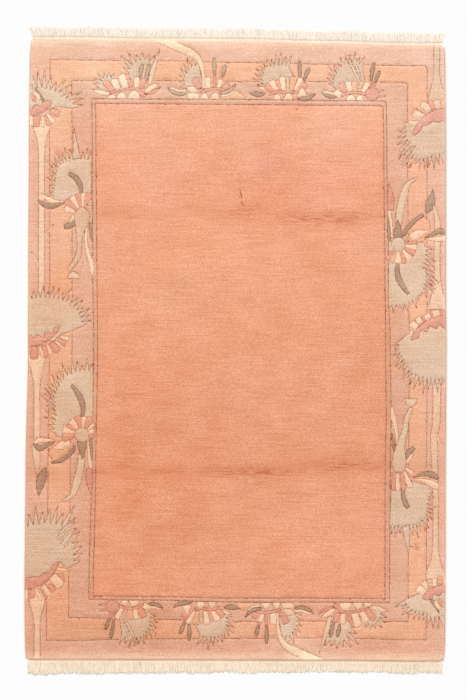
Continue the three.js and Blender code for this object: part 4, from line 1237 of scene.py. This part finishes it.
for end, way in (("top", 1), ("bottom", -1)):
    chance = np.random.default_rng(7 if way > 0 else 11)
    mid = along(end, "edge", 0)
    low_x = side_edge("left", mid) + SELVEDGE_WIDTH + 2
    high_x = side_edge("right", mid) - SELVEDGE_WIDTH - 2

    x = np.arange(low_x, high_x, WARP_PITCH / 4)
    wefts = int(STRIP[end] / WEFT_PITCH)
    row = np.arange(wefts)[:, None]
    weave = np.cos(2 * np.pi * x[None] / (2 * WARP_PITCH) + np.pi * row)
    off = SEAM + 1.5 + row * (STRIP[end] - 3) / (wefts - 1)
    y = along(end, "edge", x)[None] + way * (off + 1.5 * (row / wefts) * np.sin(x / 90)[None])
    z = WEFT_LEVEL + FIRST_RAISED * np.exp(-row) + WEAVE_WAVE * weave
    paths = np.stack([np.broadcast_to(x, y.shape), y, z], -1)
    strip_points, strip_faces = tubes(paths, WEFT_HALF, WEFT_TALL)

    parts = [(strip_points, strip_faces, WOVEN[end])]
    for count, half, flat, base, spread, lift in LAYERS:
        lock = np.linspace(low_x + half, high_x - half, count)
        start = lock + chance.uniform(-0.6, 0.6, count)
        reach = along(end, "reach", lock) - STRIP[end] + 2 + 3 * np.sin(lock / 38 + np.sin(lock / 17))
        reach = reach + chance.uniform(-5, 3, count) - 3 * lift
        s = np.linspace(0, 1, len(THINNING))[None]
        sway = np.sin(lock / 61) + 0.7 * np.sin(lock / 23 + 1.3) + 0.5 * np.sin(lock / 141 + 0.4)
        splay = SPLAY[end] * (2 * (lock - (low_x + high_x) / 2) / (high_x - low_x)) ** 9
        drift = 4 * sway + splay + chance.uniform(-spread, spread, count)
        crimp = chance.uniform(-1.2, 1.2, (count, 1)) * np.sin(s * chance.uniform(4, 9, (count, 1)))
        px = start[:, None] + drift[:, None] * s**1.5 + crimp
        py = along(end, "edge", start)[:, None] + way * (STRIP[end] - 3 + reach[:, None] * s)
        ripple = 0.25 * lift * np.sin(7 * s + lock[:, None])
        pz = (base + lift * (0.6 - 0.9 * s) + ripple) * (1 - 0.5 * s**3)
        thick = THINNING * chance.uniform(0.85, 1.1, (count, 1))
        paths = np.stack([px, py, pz], -1)
        strand_points, strand_faces = tubes(paths, half * thick[..., None], flat * thick[..., None])
        parts.append((strand_points, strand_faces, COTTON[end]))

    offsets = np.cumsum([0] + [len(part[0]) for part in parts[:-1]])
    end_points = np.concatenate([part[0] for part in parts])
    end_points[:, 2] = np.maximum(end_points[:, 2], 0)
    end_faces = np.concatenate([part[1] + offset for part, offset in zip(parts, offsets)])
    end_dyes = np.concatenate([np.tile([*linear(part[2]), 1], (len(part[0]), 1)) for part in parts])
    piece = mesh_piece("cotton_end_" + end, (end_points + shift) * MM, end_faces, cotton)
    dye_layer = piece.data.color_attributes.new("dye", "FLOAT_COLOR", "POINT")
    dye_layer.data.foreach_set("color", end_dyes.astype(np.float32).ravel())
    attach(piece, "root")
    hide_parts("fringe_" + end)
